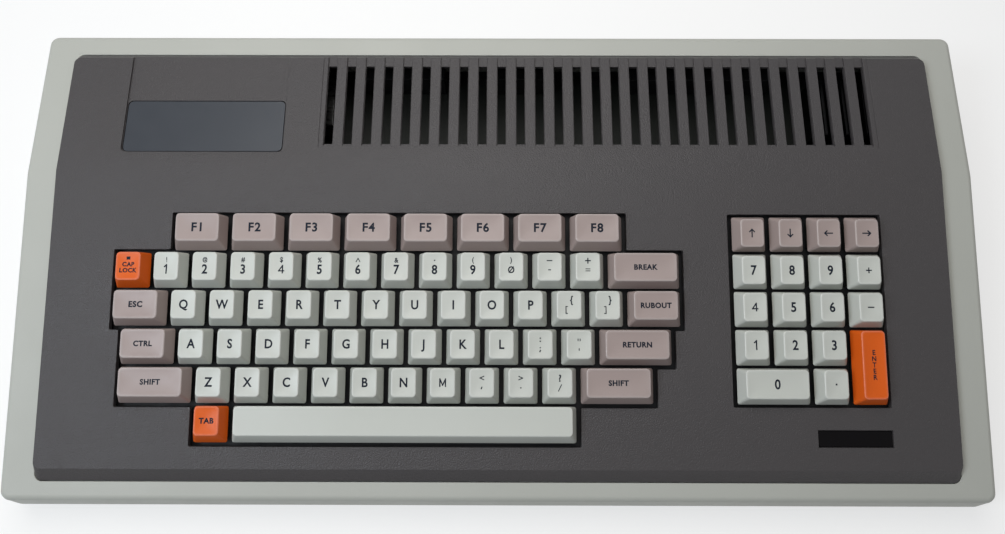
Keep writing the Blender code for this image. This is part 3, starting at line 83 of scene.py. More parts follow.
def link(tree, source, target):
    tree.links.new(source, target)


# Gives a socket a number, a colour, a vector or a link from another node
def feed(tree, socket, value):
    if isinstance(value, bpy.types.NodeSocket):
        link(tree, value, socket)
    elif isinstance(value, tuple) and len(socket.default_value) == 4:
        socket.default_value = (*value, 1)
    else:
        socket.default_value = value


def mathNode(tree, operation, *values):
    node = tree.nodes.new("ShaderNodeMath")
    node.operation = operation
    for socket, value in zip(node.inputs, values):
        feed(tree, socket, value)
    return node.outputs[0]


def mapRange(tree, value, fromLow, fromHigh, toLow, toHigh):
    node = tree.nodes.new("ShaderNodeMapRange")
    for socket, part in zip(node.inputs, (value, fromLow, fromHigh, toLow, toHigh)):
        feed(tree, socket, part)
    return node.outputs["Result"]


# 1 for rays that show the background: camera, glossy and transmission rays
def seenRays(tree):
    rays = tree.nodes.new("ShaderNodeLightPath").outputs
    first = mathNode(tree, "MAXIMUM", rays["Is Camera Ray"], rays["Is Glossy Ray"])
    return mathNode(tree, "MAXIMUM", first, rays["Is Transmission Ray"])


world = bpy.data.worlds.new("studio")
scene.world = world
world.use_nodes = True
worldTree = world.node_tree
background = worldTree.nodes["Background"]
background.inputs["Color"].default_value = (1, 1, 1, 1)
link(worldTree, mapRange(worldTree, seenRays(worldTree), 0.0, 1.0, studio["ambient"], 1.0),
     background.inputs["Strength"])

floorMesh = bpy.data.meshes.new("floor")
reach = studio["floorReach"]
floorMesh.from_pydata(
    [(-reach, -reach, 0), (reach, -reach, 0), (reach, reach, 0), (-reach, reach, 0)], [],
    [(0, 1, 2, 3)],
)
floor = bpy.data.objects.new("floor", floorMesh)
scene.collection.objects.link(floor)
floorPaint = bpy.data.materials.new("studio floor")
floorPaint.use_nodes = True
floorTree = floorPaint.node_tree
paper = floorTree.nodes["Principled BSDF"]
paper.inputs["Base Color"].default_value = (*studio["floorColour"], 1)
paper.inputs["Roughness"].default_value = studio["floorRoughness"]
paper.inputs["Specular IOR Level"].default_value = studio["floorSpecular"]
glow = floorTree.nodes.new("ShaderNodeEmission")
blendIn = floorTree.nodes.new("ShaderNodeMixShader")
link(floorTree, mathNode(floorTree, "MULTIPLY", seenRays(floorTree), studio["backdropGlow"]),
     blendIn.inputs["Fac"])
link(floorTree, paper.outputs[0], blendIn.inputs[1])
link(floorTree, glow.outputs[0], blendIn.inputs[2])
link(floorTree, blendIn.outputs[0], floorTree.nodes["Material Output"].inputs["Surface"])
floorMesh.materials.append(floorPaint)
print("camera, lamps and floor set")


# Node groups that the finishes share

def shaderGroup(name, inputs):
    group = bpy.data.node_groups.new(name, "ShaderNodeTree")
    for socketName, kind, value in inputs:
        socket = group.interface.new_socket(
            name=socketName, in_out="INPUT", socket_type="NodeSocket" + kind)
        socket.default_value = value
    for socketName, kind in (("Colour", "Color"), ("Roughness", "Float"), ("Normal", "Vector")):
        group.interface.new_socket(name=socketName, in_out="OUTPUT", socket_type="NodeSocket" + kind)
    return group, group.nodes.new("NodeGroupInput").outputs, group.nodes.new("NodeGroupOutput").inputs


def noiseNode(tree, vector, scale, detail=2.0, roughness=0.5):
    noise = tree.nodes.new("ShaderNodeTexNoise")
    for name, value in (("Vector", vector), ("Scale", scale), ("Detail", detail), ("Roughness", roughness)):
        feed(tree, noise.inputs[name], value)
    return noise.outputs["Fac"]


def mixColour(tree, amount, a, b, mode="MIX"):
    node = tree.nodes.new("ShaderNodeMix")
    node.data_type = "RGBA"
    node.blend_type = mode
    for number, value in ((0, amount), (6, a), (7, b)):
        feed(tree, node.inputs[number], value)
    return node.outputs[2]


def bumpNode(tree, height, depth):
    bump = tree.nodes.new("ShaderNodeBump")
    feed(tree, bump.inputs["Distance"], depth)
    link(tree, height, bump.inputs["Height"])
    return bump.outputs["Normal"]


# Moulded plastic: a spark-eroded grain, faint flow marks and an uneven sheen
mouldedGrain, given, result = shaderGroup("mouldedGrain", (
    ("Colour", "Color", (0.5, 0.5, 0.5, 1)), ("Second Colour", "Color", (0.5, 0.5, 0.5, 1)),
    ("Mottle Scale", "Float", 30.0), ("Grain Scale", "Float", 2200.0), ("Grain Depth", "Float", 0.00003),
    ("Sheen Low", "Float", 0.45), ("Sheen High", "Float", 0.60)))
coords = mouldedGrain.nodes.new("ShaderNodeTexCoord").outputs["Object"]
mottle = noiseNode(mouldedGrain, coords, given["Mottle Scale"], 4.0, 0.6)
link(mouldedGrain, mixColour(mouldedGrain, mottle, given["Colour"], given["Second Colour"]),
     result["Colour"])
pebbles = mouldedGrain.nodes.new("ShaderNodeTexVoronoi")
pebbles.feature = "SMOOTH_F1"
for socketName, value in (("Vector", coords), ("Scale", given["Grain Scale"]), ("Smoothness", 0.6)):
    feed(mouldedGrain, pebbles.inputs[socketName], value)
fineScale = mathNode(mouldedGrain, "MULTIPLY", given["Grain Scale"], 2.7)
height = mathNode(
    mouldedGrain, "ADD", mathNode(mouldedGrain, "MULTIPLY", pebbles.outputs["Distance"], -1.0),
    mathNode(mouldedGrain, "MULTIPLY", noiseNode(mouldedGrain, coords, fineScale, 1.0), 0.6))
link(mouldedGrain, bumpNode(mouldedGrain, height, given["Grain Depth"]), result["Normal"])
handledScale = mathNode(mouldedGrain, "MULTIPLY", given["Mottle Scale"], 2.3)
handled = noiseNode(mouldedGrain, coords, handledScale, 5.0, 0.65)
link(mouldedGrain, mapRange(mouldedGrain, handled, 0.3, 0.7, given["Sheen Low"], given["Sheen High"]),
     result["Roughness"])

# Rolled or drawn metal: streaks along one direction and dull spots
metalSkin, given, result = shaderGroup("metalSkin", (
    ("Colour", "Color", (0.6, 0.6, 0.6, 1)), ("Dull Colour", "Color", (0.4, 0.4, 0.4, 1)),
    ("Streaks", "Vector", (40.0, 900.0, 900.0)), ("Spot Scale", "Float", 160.0),
    ("Sheen Low", "Float", 0.25), ("Sheen High", "Float", 0.50)))
coords = metalSkin.nodes.new("ShaderNodeTexCoord").outputs["Object"]
drawnOut = metalSkin.nodes.new("ShaderNodeVectorMath")
drawnOut.operation = "MULTIPLY"
link(metalSkin, coords, drawnOut.inputs[0])
link(metalSkin, given["Streaks"], drawnOut.inputs[1])
streaks = noiseNode(metalSkin, drawnOut.outputs[0], 1.0, 3.0)
spots = noiseNode(metalSkin, coords, given["Spot Scale"], 4.0, 0.6)
link(metalSkin, mixColour(metalSkin, spots, given["Colour"], given["Dull Colour"]), result["Colour"])
sheen = mathNode(metalSkin, "MULTIPLY_ADD", streaks, 0.6, mathNode(metalSkin, "MULTIPLY", spots, 0.4))
link(metalSkin, mapRange(metalSkin, sheen, 0.35, 0.65, given["Sheen Low"], given["Sheen High"]),
     result["Roughness"])
link(metalSkin, bumpNode(metalSkin, streaks, 0.00001), result["Normal"])


# A Principled material whose colour, sheen and bump come from a node group
def newFinish(name, group, specular, metallic, values):
    made = bpy.data.materials.new(name)
    made.use_nodes = True
    tree = made.node_tree
    shader = tree.nodes["Principled BSDF"]
    shader.inputs["Metallic"].default_value = metallic
    shader.inputs["Specular IOR Level"].default_value = specular
    skin = tree.nodes.new("ShaderNodeGroup")
    skin.node_tree = group
    for socket, value in zip(skin.inputs, values):
        feed(tree, socket, value)
    for source, target in (("Colour", "Base Color"), ("Roughness", "Roughness"), ("Normal", "Normal")):
        link(tree, skin.outputs[source], shader.inputs[target])
    return made


# A mesh attribute for a finish to read, with the finish's tree, shader and colour
def attributeFor(finish, name):
    tree = finish.node_tree
    shader = tree.nodes["Principled BSDF"]
    attribute = tree.nodes.new("ShaderNodeAttribute")
    attribute.attribute_name = name
    return tree, shader.inputs, attribute.outputs["Fac"], shader.inputs["Base Color"].links[0].from_socket


# Shinier edges for wear, and edges lightened toward white as a painted highlight, where the mesh's
# wear-and-highlight weight is high
def addWearAndPaintedHighlight(finish, paintedHighlight, glossier):
    tree, inputs, wearAndHighlight, colour = attributeFor(finish, "wearAndHighlight")
    rough = inputs["Roughness"].links[0].from_socket
    amount = mathNode(tree, "MULTIPLY", wearAndHighlight, paintedHighlight)
    # Painted highlight: the base colour is screened toward white along the top edges
    link(tree, mixColour(tree, amount, colour, (1.0, 1.0, 1.0), "SCREEN"), inputs["Base Color"])
    shine = mathNode(tree, "MULTIPLY", wearAndHighlight, glossier)
    link(tree, mathNode(tree, "SUBTRACT", rough, shine), inputs["Roughness"])


# Painted shade: a near-black colour where the mesh's inside attribute is 1, for the dark inside the case
def addPaintedInnerShade(finish, paint):
    tree, inputs, inside, colour = attributeFor(finish, "inside")
    link(tree, mixColour(tree, inside, colour, paint), inputs["Base Color"])


mouldedFinishes = {
    # colour, second colour, mottle scale, grain scale, grain depth, sheen from and to, specular
    "cream case": ((0.425, 0.43, 0.395), (0.385, 0.39, 0.355), 14.0, 1900.0, 0.000022, 0.48, 0.62, 0.35),
    "brown deck": ((0.045, 0.042, 0.044), (0.052, 0.047, 0.048), 9.0, 1400.0, 0.00019, 0.30, 0.40, 0.25),
    "slate plate": ((0.030, 0.035, 0.044), (0.036, 0.041, 0.050), 40.0, 5200.0, 0.000006, 0.28, 0.40, 0.25),
    "smoked window": (
        (0.0020, 0.0016, 0.0022), (0.0030, 0.0024, 0.0030), 60.0, 800.0, 0.000002, 0.20, 0.28, 0.06),
    "red lamp": ((0.42, 0.02, 0.02), (0.55, 0.04, 0.03), 300.0, 900.0, 0.000004, 0.12, 0.22, 0.5),
    "white keycap": ((0.51, 0.525, 0.490), (0.475, 0.485, 0.445), 22.0, 3600.0, 0.000012, 0.34, 0.46, 0.4),
    "taupe keycap": ((0.325, 0.262, 0.247), (0.30, 0.24, 0.224), 22.0, 3600.0, 0.000012, 0.34, 0.46, 0.35),
    "orange keycap": ((0.66, 0.108, 0.008), (0.60, 0.092, 0.007), 22.0, 3600.0, 0.000012, 0.34, 0.46, 0.22),
    "legend ink": ((0.005, 0.008, 0.016), (0.010, 0.013, 0.022), 700.0, 4000.0, 0.000006, 0.50, 0.65, 0.12),
    "black moulding": (
        (0.012, 0.012, 0.013), (0.018, 0.018, 0.019), 60.0, 2600.0, 0.000014, 0.40, 0.55, 0.35),
    "black rubber": ((0.020, 0.020, 0.020), (0.034, 0.033, 0.031), 90.0, 1700.0, 0.00004, 0.78, 0.92, 0.3),
    # The keyboard plate's near-black colour is painted shade for the dark gaps round the keys
    "black stove enamel": (
        (0.005, 0.005, 0.006), (0.009, 0.009, 0.010), 70.0, 1500.0, 0.00002, 0.45, 0.60, 0.15),
    "grey ribbon": ((0.40, 0.41, 0.43), (0.36, 0.37, 0.39), 60.0, 1500.0, 0.00001, 0.45, 0.60, 0.5),
    # The boards' colour is near black: painted shade for the dark seen through the slots
    "board darkened as painted shade": ((0.014, 0.016, 0.014), (0.020, 0.022, 0.019), 260.0, 1500.0, 0.00001, 0.42, 0.58, 0.2),
}
metalFinishes = {
    # colour, dull colour, streaks, spot scale, sheen from and to
    "plated steel": ((0.62, 0.62, 0.61), (0.44, 0.44, 0.45), (900.0, 900.0, 200.0), 500.0, 0.22, 0.42),
    # The can's tinned steel and the cooler's aluminium are darkened nearly to black as painted shade inside
    # the case
    "tinned steel": ((0.09, 0.09, 0.088), (0.06, 0.06, 0.058), (60.0, 1400.0, 1400.0), 180.0, 0.20, 0.42),
    "anodised aluminium": (
        (0.020, 0.020, 0.021), (0.015, 0.015, 0.016), (1400.0, 40.0, 1400.0), 120.0, 0.32, 0.50),
}
finishes = {name: newFinish(name, mouldedGrain, values[-1], 0.0, values[:-1])
            for name, values in mouldedFinishes.items()}
for name, values in metalFinishes.items():
    finishes[name] = newFinish(name, metalSkin, 0.5, 1.0, values)
# The cream case's inside faces get a near-black painted shade
addPaintedInnerShade(finishes["cream case"], (0.016, 0.015, 0.016))
# How much each cap colour is lightened on its top edges as a painted highlight, and how much glossier wear
# makes it
for capColour, paintedHighlight in (("white", 0.10), ("taupe", 0.12), ("orange", 0.08)):
    addWearAndPaintedHighlight(finishes[capColour + " keycap"], paintedHighlight, 0.10)
print("finishes made:", len(finishes))


# Tools for meshes

def meshObject(bm, name):
    bmesh.ops.recalc_face_normals(bm, faces=bm.faces)
    mesh = bpy.data.meshes.new(name)
    bm.to_mesh(mesh)
    bm.free()
    made = bpy.data.objects.new(name, mesh)
    scene.collection.objects.link(made)
    return made


# Turns a piece and its modifiers into a plain mesh
def settle(piece):
    depsgraph = bpy.context.evaluated_depsgraph_get()
    depsgraph.update()
    mesh = bpy.data.meshes.new_from_object(piece.evaluated_get(depsgraph))
    piece.modifiers.clear()
    piece.data = mesh
    return piece


# Cuts a shape out of a piece, or joins it on; the shape is a bmesh or an object
def carve(target, shape, operation="DIFFERENCE", placed=None):
    tool = meshObject(shape, "carving tool") if isinstance(shape, bmesh.types.BMesh) else shape
    if placed:
        tool.data.transform(placed)
    step = target.modifiers.new("carve", "BOOLEAN")
    step.operation = operation
    step.solver = "EXACT"
    step.object = tool
    settle(target)
    bpy.data.objects.remove(tool)


# Rounds the convex edges sharper than over degrees, or those of them that wanted picks
def roundEdges(piece, width, steps, wanted=None, over=30, clamp=False):
    bm = bmesh.new()
    bm.from_mesh(piece.data)
    bmesh.ops.remove_doubles(bm, verts=bm.verts, dist=0.000002)
    bmesh.ops.dissolve_limit(bm, angle_limit=math.radians(0.5), verts=bm.verts, edges=bm.edges)
    limit = math.radians(over)
    edges = [
        edge for edge in bm.edges
        if len(edge.link_faces) == 2 and edge.is_convex and edge.calc_face_angle(0) > limit
        and (wanted is None or wanted(edge))
    ]
    if edges:
        bmesh.ops.bevel(bm, geom=edges, offset=width, offset_type="OFFSET", segments=steps,
                        profile=0.5, affect="EDGES", clamp_overlap=clamp)
    bm.to_mesh(piece.data)
    bm.free()


# Smooths, paints and mounts a finished piece, whose slot has its finish's name
def finishPiece(piece, finish, body, replaced=(), sharp=38):
    piece.data.materials.clear()
    piece.data.materials.append(finishes[finish])
    piece.data.shade_smooth()
    piece.data.set_sharp_from_angle(angle=math.radians(sharp))
    weigh = piece.modifiers.new("weigh", "WEIGHTED_NORMAL")
    weigh.keep_sharp = True
    settle(piece)
    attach(piece, body)
    if replaced:
        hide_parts(*replaced)
    return piece


# Marks the faces whose middle lies inside a shell, for the painted shade
def markInside(piece, isInside):
    marks = piece.data.attributes.new("inside", "FLOAT", "FACE")
    for face in piece.data.polygons:
        marks.data[face.index].value = 1.0 if isInside(face.center) else 0.0


def addBlock(bm, low, high):
    size = Vector(high) - Vector(low)
    bmesh.ops.create_cube(bm, size=1, matrix=Matrix.Translation(
        (Vector(low) + Vector(high)) / 2) @ Matrix.Diagonal((*size, 1)))


def addRod(bm, start, length, radius, sides=32, axis="Z", endRadius=None):
    turn = Matrix.Rotation(-math.pi / 2, 4, "X") if axis == "Y" else Matrix.Identity(4)
    bmesh.ops.create_cone(
        bm, cap_ends=True, segments=sides, radius1=radius,
        radius2=radius if endRadius is None else endRadius, depth=length,
        matrix=Matrix.Translation(start) @ turn @ Matrix.Translation((0, 0, length / 2)))


def addPrism(bm, outline, start, end, place=lambda u, v, w: (u, v, w)):
    first = [bm.verts.new(place(u, v, start)) for u, v in outline]
    last = [bm.verts.new(place(u, v, end)) for u, v in outline]
    bm.faces.new(first[::-1])
    bm.faces.new(last)
    for i in range(len(outline)):
        bm.faces.new((first[i - 1], first[i], last[i], last[i - 1]))


def bridge(bm, rings, closed=False):
    placed = [[bm.verts.new(point) for point in ring] for ring in rings]
    pairs = list(zip(placed, placed[1:]))
    if closed:
        pairs.append((placed[-1], placed[0]))
    for one, other in pairs:
        for i in range(len(one)):
            bm.faces.new((one[i - 1], one[i], other[i], other[i - 1]))
    return placed


# A rectangle with round corners, with a point on each side at sideY
def roundedOutline(x0, x1, y0, y1, radius, steps=8, sideY=None):
    corners = ((x1 - radius, y0 + radius, -90), (x1 - radius, y1 - radius, 0),
               (x0 + radius, y1 - radius, 90), (x0 + radius, y0 + radius, 180))
    points = []
    for number, (x, y, start) in enumerate(corners):
        for step in range(steps + 1):
            angle = math.radians(start + 90 * step / steps)
            points.append((x + radius * math.cos(angle), y + radius * math.sin(angle)))
        if sideY is not None and number in (0, 2):
            points.append((x1 if number == 0 else x0, sideY))
    return points


# An outline with every corner rounded
def softCorners(outline, radius, steps=3):
    points = []
    for i, corner in enumerate(outline):
        here = Vector(corner)
        before = (Vector(outline[i - 1]) - here).normalized()
        after = (Vector(outline[(i + 1) % len(outline)]) - here).normalized()
        centre = here + (before + after) * radius
        for step in range(steps + 1):
            angle = math.pi / 2 * step / steps
            points.append(tuple(
                centre - after * radius * math.cos(angle) - before * radius * math.sin(angle)))
    return points


# Geometry Nodes trees for what repeats

def geometryTree(name, inputs):
    tree = bpy.data.node_groups.new(name, "GeometryNodeTree")
    tree.interface.new_socket(name="Geometry", in_out="INPUT", socket_type="NodeSocketGeometry")
    tree.interface.new_socket(name="Geometry", in_out="OUTPUT", socket_type="NodeSocketGeometry")
    for socketName, kind in inputs:
        tree.interface.new_socket(name=socketName, in_out="INPUT", socket_type=kind)
    return tree, tree.nodes.new("NodeGroupInput"), tree.nodes.new("NodeGroupOutput")


def endTree(tree, treeIn, treeOut, geometry):
    realize = tree.nodes.new("GeometryNodeRealizeInstances")
    paint = tree.nodes.new("GeometryNodeSetMaterial")
    link(tree, geometry, realize.inputs[0])
    link(tree, realize.outputs[0], paint.inputs["Geometry"])
    link(tree, treeIn.outputs["Finish"], paint.inputs["Material"])
    link(tree, paint.outputs[0], treeOut.inputs["Geometry"])


# Runs a tree on some points and returns its result as an object
def runTree(tree, name, values, points=()):
    mesh = bpy.data.meshes.new(name)
    mesh.from_pydata(list(points), [], [])
    host = bpy.data.objects.new(name, mesh)
    modifier = host.modifiers.new(tree.name, "NODES")
    modifier.node_group = tree
    for item in tree.interface.items_tree:
        if item.item_type == "SOCKET" and item.in_out == "INPUT" and item.name in values:
            modifier[item.identifier] = values[item.name]
    scene.collection.objects.link(host)
    return settle(host)


# Copies of one shape on every point
copiesTree, treeIn, treeOut = geometryTree("copiesOnPoints", (
    ("Shape", "NodeSocketObject"), ("Finish", "NodeSocketMaterial")))
shapeInfo = copiesTree.nodes.new("GeometryNodeObjectInfo")
shapeInfo.transform_space = "ORIGINAL"
copyNode = copiesTree.nodes.new("GeometryNodeInstanceOnPoints")
link(copiesTree, treeIn.outputs["Shape"], shapeInfo.inputs["Object"])
link(copiesTree, treeIn.outputs["Geometry"], copyNode.inputs["Points"])
link(copiesTree, shapeInfo.outputs["Geometry"], copyNode.inputs["Instance"])
endTree(copiesTree, treeIn, treeOut, copyNode.outputs["Instances"])

# A straight row of equal blocks
rowTree, treeIn, treeOut = geometryTree("rowOfBlocks", (
    ("Count", "NodeSocketInt"), ("First", "NodeSocketVector"), ("Step", "NodeSocketVector"),
    ("Size", "NodeSocketVector"), ("Finish", "NodeSocketMaterial")))
lineNode = rowTree.nodes.new("GeometryNodeMeshLine")
blockNode = rowTree.nodes.new("GeometryNodeMeshCube")
rowCopies = rowTree.nodes.new("GeometryNodeInstanceOnPoints")
link(rowTree, treeIn.outputs["Count"], lineNode.inputs["Count"])
link(rowTree, treeIn.outputs["First"], lineNode.inputs["Start Location"])
link(rowTree, treeIn.outputs["Step"], lineNode.inputs["Offset"])
link(rowTree, treeIn.outputs["Size"], blockNode.inputs["Size"])
link(rowTree, lineNode.outputs[0], rowCopies.inputs["Points"])
link(rowTree, blockNode.outputs[0], rowCopies.inputs["Instance"])
endTree(rowTree, treeIn, treeOut, rowCopies.outputs["Instances"])
print("geometry node trees made")


# The case's lines, the same as in the CAD

caseLines = {
    "slope": math.radians(7.87), "creaseRun": 0.1652, "rearDeck": 0.0686, "rearRim": 0.0121,
    "frontRim": 0.0097, "rimWidth": 0.49195, "deckWidth": 0.45675, "rearReach": 0.0071,
    "bottom": 0.0040, "floor": 0.0026, "wall": 0.0026, "seam": 0.0160, "frontTop": 0.0297,
    "flare": 0.0020, "corner": 0.0050, "seatGap": 0.0003, "deckCorner": 0.0035, "deckRise": 0.0042,
    "screwFromSide": 0.0120, "screwFromEnd": 0.0130, "footInwards": 0.0260, "socketHeight": 0.0252,
    "bite": 0.0005, "holePast": 0.0010,
}
slope, wall, flare, seam, play, bite, past = (
    caseLines[name] for name in ("slope", "wall", "flare", "seam", "seatGap", "bite", "holePast"))
rimDepth = caseLines["creaseRun"] * math.cos(slope) + caseLines["rearDeck"] + caseLines["rearRim"]
frontY = (caseLines["flare"] - rimDepth - caseLines["rearReach"]) / 2
rearY = frontY + rimDepth
creaseY = frontY + caseLines["creaseRun"] * math.cos(slope)
halfRim = caseLines["rimWidth"] / 2
halfDeck = caseLines["deckWidth"] / 2
deckFrontY = frontY + caseLines["frontRim"]
deckRearY = rearY - caseLines["rearRim"]
rearRimZ = caseLines["frontTop"] + caseLines["creaseRun"] * math.sin(slope)
outsideY = rearY + caseLines["flare"] + caseLines["seatGap"]
socketZ = caseLines["socketHeight"]
tubFloor = caseLines["bottom"] + caseLines["floor"]
keyboardPlane = Matrix.Translation((0, frontY, caseLines["frontTop"])) @ Matrix.Rotation(slope, 4, "X")


def rimZ(y):
    return caseLines["frontTop"] + (min(y, creaseY) - frontY) * math.tan(slope)


def caseRing(grow, height):
    corner = caseLines["corner"] + grow
    return [(x, y, height(y)) for x, y in roundedOutline(
        -halfRim - grow, halfRim + grow, frontY - grow, rearY + grow, corner, 8, creaseY)]


def deckRing(side, front, rear, height, corner=caseLines["deckCorner"]):
    return [(x, y, height(y)) for x, y in roundedOutline(
        -halfDeck - side, halfDeck + side, deckFrontY - front, deckRearY + rear, corner, 8, creaseY)]


def withinWalls(at, grow):
    return abs(at.x) < halfRim + grow and frontY - grow < at.y < rearY + grow


# The four places at a distance from the rim's sides and ends
def cornerSpots(fromSide, fromEnd):
    return [(side * (halfRim - fromSide), y)
            for y in (frontY + fromEnd, rearY - fromEnd) for side in (-1, 1)]


screwSpots = cornerSpots(caseLines["screwFromSide"], caseLines["screwFromEnd"])
footSpots = cornerSpots(caseLines["footInwards"], caseLines["footInwards"])

# The keyboard's lines: places up the slope, and heights above the sloping rim, square to it
keyLines = {"pitch": 0.01905, "fromDeckSide": 0.0350, "padGap": 0.0250, "toFront": 0.0280,
            "capRise": 0.0070, "capHeight": 0.0072, "plateDrop": 0.0050, "plateThickness": 0.0015,
            "postOutside": 0.0060, "postBeforePad": 0.0125}
keyPitch, keysToFront = keyLines["pitch"], keyLines["toFront"]
mainLeft = -halfDeck + keyLines["fromDeckSide"]
padLeft = mainLeft + 15 * keyPitch + keyLines["padGap"]
padRight = padLeft + 4 * keyPitch
padToFront = keysToFront + keyPitch
deckTop = caseLines["deckRise"] * math.cos(slope)
capTop = deckTop + keyLines["capRise"]
capBottom = capTop - keyLines["capHeight"]
plateTop = capBottom - keyLines["plateDrop"]
plateBottom = plateTop - keyLines["plateThickness"]
postRows = (keysToFront + keyPitch / 2, keysToFront + 5.5 * keyPitch)
postColumns = (mainLeft - keyLines["postOutside"], padLeft - keyLines["postBeforePad"],
               padRight + keyLines["postOutside"])


def onSlope(x, s, h):
    return keyboardPlane @ Vector((x, s, h))


# The cream frame

frameShape = {"edgeRound": 0.0030, "seamRound": 0.0005, "openingRound": 0.0004, "deckGap": 0.0004,
              "seatDepth": 0.0036, "ledge": 0.0032, "ledgeThickness": 0.0024, "boss": 0.0045,
              "screwHole": 0.0018, "screwReach": 0.0083}
gap, ledge, edgeRound = (frameShape[name] for name in ("deckGap", "ledge", "edgeRound"))
under = frameShape["seatDepth"] + frameShape["ledgeThickness"]
opening = caseLines["deckCorner"] + gap
topRings = []
for angle in range(0, 91, 15):
    down = edgeRound * (1 - math.sin(math.radians(angle)))
    topRings.append(caseRing(-edgeRound * (1 - math.cos(math.radians(angle))),
                             lambda y, down=down: rimZ(y) - down))
small = frameShape["openingRound"]
frameMesh = bmesh.new()
bridge(frameMesh, [
    caseRing(flare - frameShape["seamRound"], lambda y: seam),
    caseRing(flare, lambda y: seam + frameShape["seamRound"]),
    *topRings,
    deckRing(*3 * (gap + small,), rimZ, opening + small),
    deckRing(*3 * (gap + small * 0.3,), lambda y: rimZ(y) - small * 0.3, opening),
    deckRing(*3 * (gap,), lambda y: rimZ(y) - small, opening),
    deckRing(*3 * (gap,), lambda y: rimZ(y) - frameShape["seatDepth"], opening),
    deckRing(*3 * (-ledge,), lambda y: rimZ(y) - frameShape["seatDepth"]),
    deckRing(*3 * (-ledge,), lambda y: rimZ(y) - under),
    caseRing(-wall, lambda y: rimZ(y) - under),
    caseRing(flare - wall, lambda y: seam),
], closed=True)
creamFrame = meshObject(frameMesh, "cream_frame")

rearSockets = {
    # places as shares of half the rim's width; a place and a radius, or a place, a width and a height
    "round": ((-0.48, 0, 0.00415), *((-0.22, step * 0.016, 0.00415) for step in (-1, 0, 1)),
              (-0.70, 0, 0.0055)),
    "square": ((0.46, 0.0860, 0.0120), (-0.84, 0.0190, 0.0144)),
    "port": (0.06, 0.0070, 0.0084, 0.00415), "cutBefore": 0.0060, "cutBehind": 0.0020,
}
rearCuts = bmesh.new()
cutStart, cutEnd = rearY - rearSockets["cutBefore"], outsideY + rearSockets["cutBehind"]
for share, aside, radius in rearSockets["round"]:
    start = (share * halfRim + aside, cutStart, socketZ)
    addRod(rearCuts, start, cutEnd - cutStart, radius + play, 40, "Y")
for share, width, tall in rearSockets["square"]:
    half, halfTall = width / 2 + play, tall / 2 + play
    addBlock(rearCuts, (share * halfRim - half, cutStart, socketZ - halfTall),
             (share * halfRim + half, cutEnd, socketZ + halfTall))
share, lower, upper, halfTall = rearSockets["port"]
addPrism(rearCuts, [
    (share * halfRim + across, socketZ + up) for across, up in (
        (-lower - play, -halfTall - play), (lower + play, -halfTall - play),
        (upper + play, halfTall + play), (-upper - play, halfTall + play))
], cutStart, cutEnd, lambda u, v, w: (u, w, v))
carve(creamFrame, rearCuts)
bossMesh = bmesh.new()
holeMesh = bmesh.new()
for x, y in screwSpots:
    top = rimZ(y - frameShape["boss"]) - under
    addRod(bossMesh, (x, y, seam), top - seam, frameShape["boss"], 32)
    addRod(holeMesh, (x, y, seam - past), frameShape["screwReach"] + past, frameShape["screwHole"], 24)
carve(creamFrame, bossMesh, "UNION")
carve(creamFrame, holeMesh)
# Faces inside the frame's walls are marked for the painted shade
markInside(creamFrame, lambda at: withinWalls(at, -wall / 2) and at.z < rimZ(at.y) - under + 0.0001)
finishPiece(creamFrame, "cream case", "case", ["upper_case"])
print("cream frame made")

# The cream tub

tubShape = {"tuck": 0.0008, "seamRound": 0.0005, "footSink": 0.0010, "screwSink": 0.0028,
            "boardPost": 0.0040, "boardLift": 0.0060, "screwPost": 0.0045, "squarePost": 0.0040,
            "boardPostX": 0.204975, "boardPostIn": 0.0100, "boardGap": 0.0020, "boardFromWall": 0.0060,
            "sinkStart": 0.0020, "footRadius": 0.0073, "headRadius": 0.0032, "holeStart": 0.0050}
tubMesh = bmesh.new()
seamUnder = seam - play
tubRings = [caseRing(flare - tubShape["tuck"] * (1 - math.sin(math.radians(angle))),
                     lambda y, rise=tubShape["tuck"] * (1 - math.cos(math.radians(angle))):
                     caseLines["bottom"] + rise) for angle in (0, 30, 60, 90)]
placed = bridge(tubMesh, [
    *tubRings,
    caseRing(flare, lambda y: seamUnder - tubShape["seamRound"]),
    caseRing(flare - tubShape["seamRound"], lambda y: seamUnder),
    caseRing(flare - wall, lambda y: seamUnder),
    caseRing(flare - wall, lambda y: tubFloor),
])
tubMesh.faces.new(placed[0][::-1])
tubMesh.faces.new(placed[-1])
creamTub = meshObject(tubMesh, "cream_tub")
postMesh = bmesh.new()
low = tubFloor - bite
boardBottom = tubFloor + tubShape["boardLift"]
boardFront = onSlope(0, postRows[1], plateBottom).y + tubShape["squarePost"] + tubShape["boardGap"]
boardRear = rearY - wall - tubShape["boardFromWall"]
for x in (-tubShape["boardPostX"], 0, tubShape["boardPostX"]):
    for y in (boardFront + tubShape["boardPostIn"], boardRear - tubShape["boardPostIn"]):
        addRod(postMesh, (x, y, low), boardBottom - play - low, tubShape["boardPost"], 32)
for x, y in screwSpots:
    addRod(postMesh, (x, y, low), seamUnder - low, tubShape["screwPost"], 32)
for x in postColumns:
    for s in postRows:
        top = onSlope(x, s, plateBottom - play)
        half = tubShape["squarePost"]
        base = [(x + i * half, top.y + j * half, low) for i, j in ((-1, -1), (1, -1), (1, 1), (-1, 1))]
        head = [(px, py, top.z + (py - top.y) * math.tan(slope)) for px, py, _ in base]
        ends = bridge(postMesh, [base, head])
        postMesh.faces.new(ends[0][::-1])
        postMesh.faces.new(ends[1])
carve(creamTub, postMesh, "UNION")
sinkMesh = bmesh.new()
sinkStart = tubShape["sinkStart"]
sinkDepth = caseLines["bottom"] - sinkStart
holeMesh = bmesh.new()
for x, y in footSpots:
    addRod(sinkMesh, (x, y, sinkStart), sinkDepth + tubShape["footSink"], tubShape["footRadius"], 40)
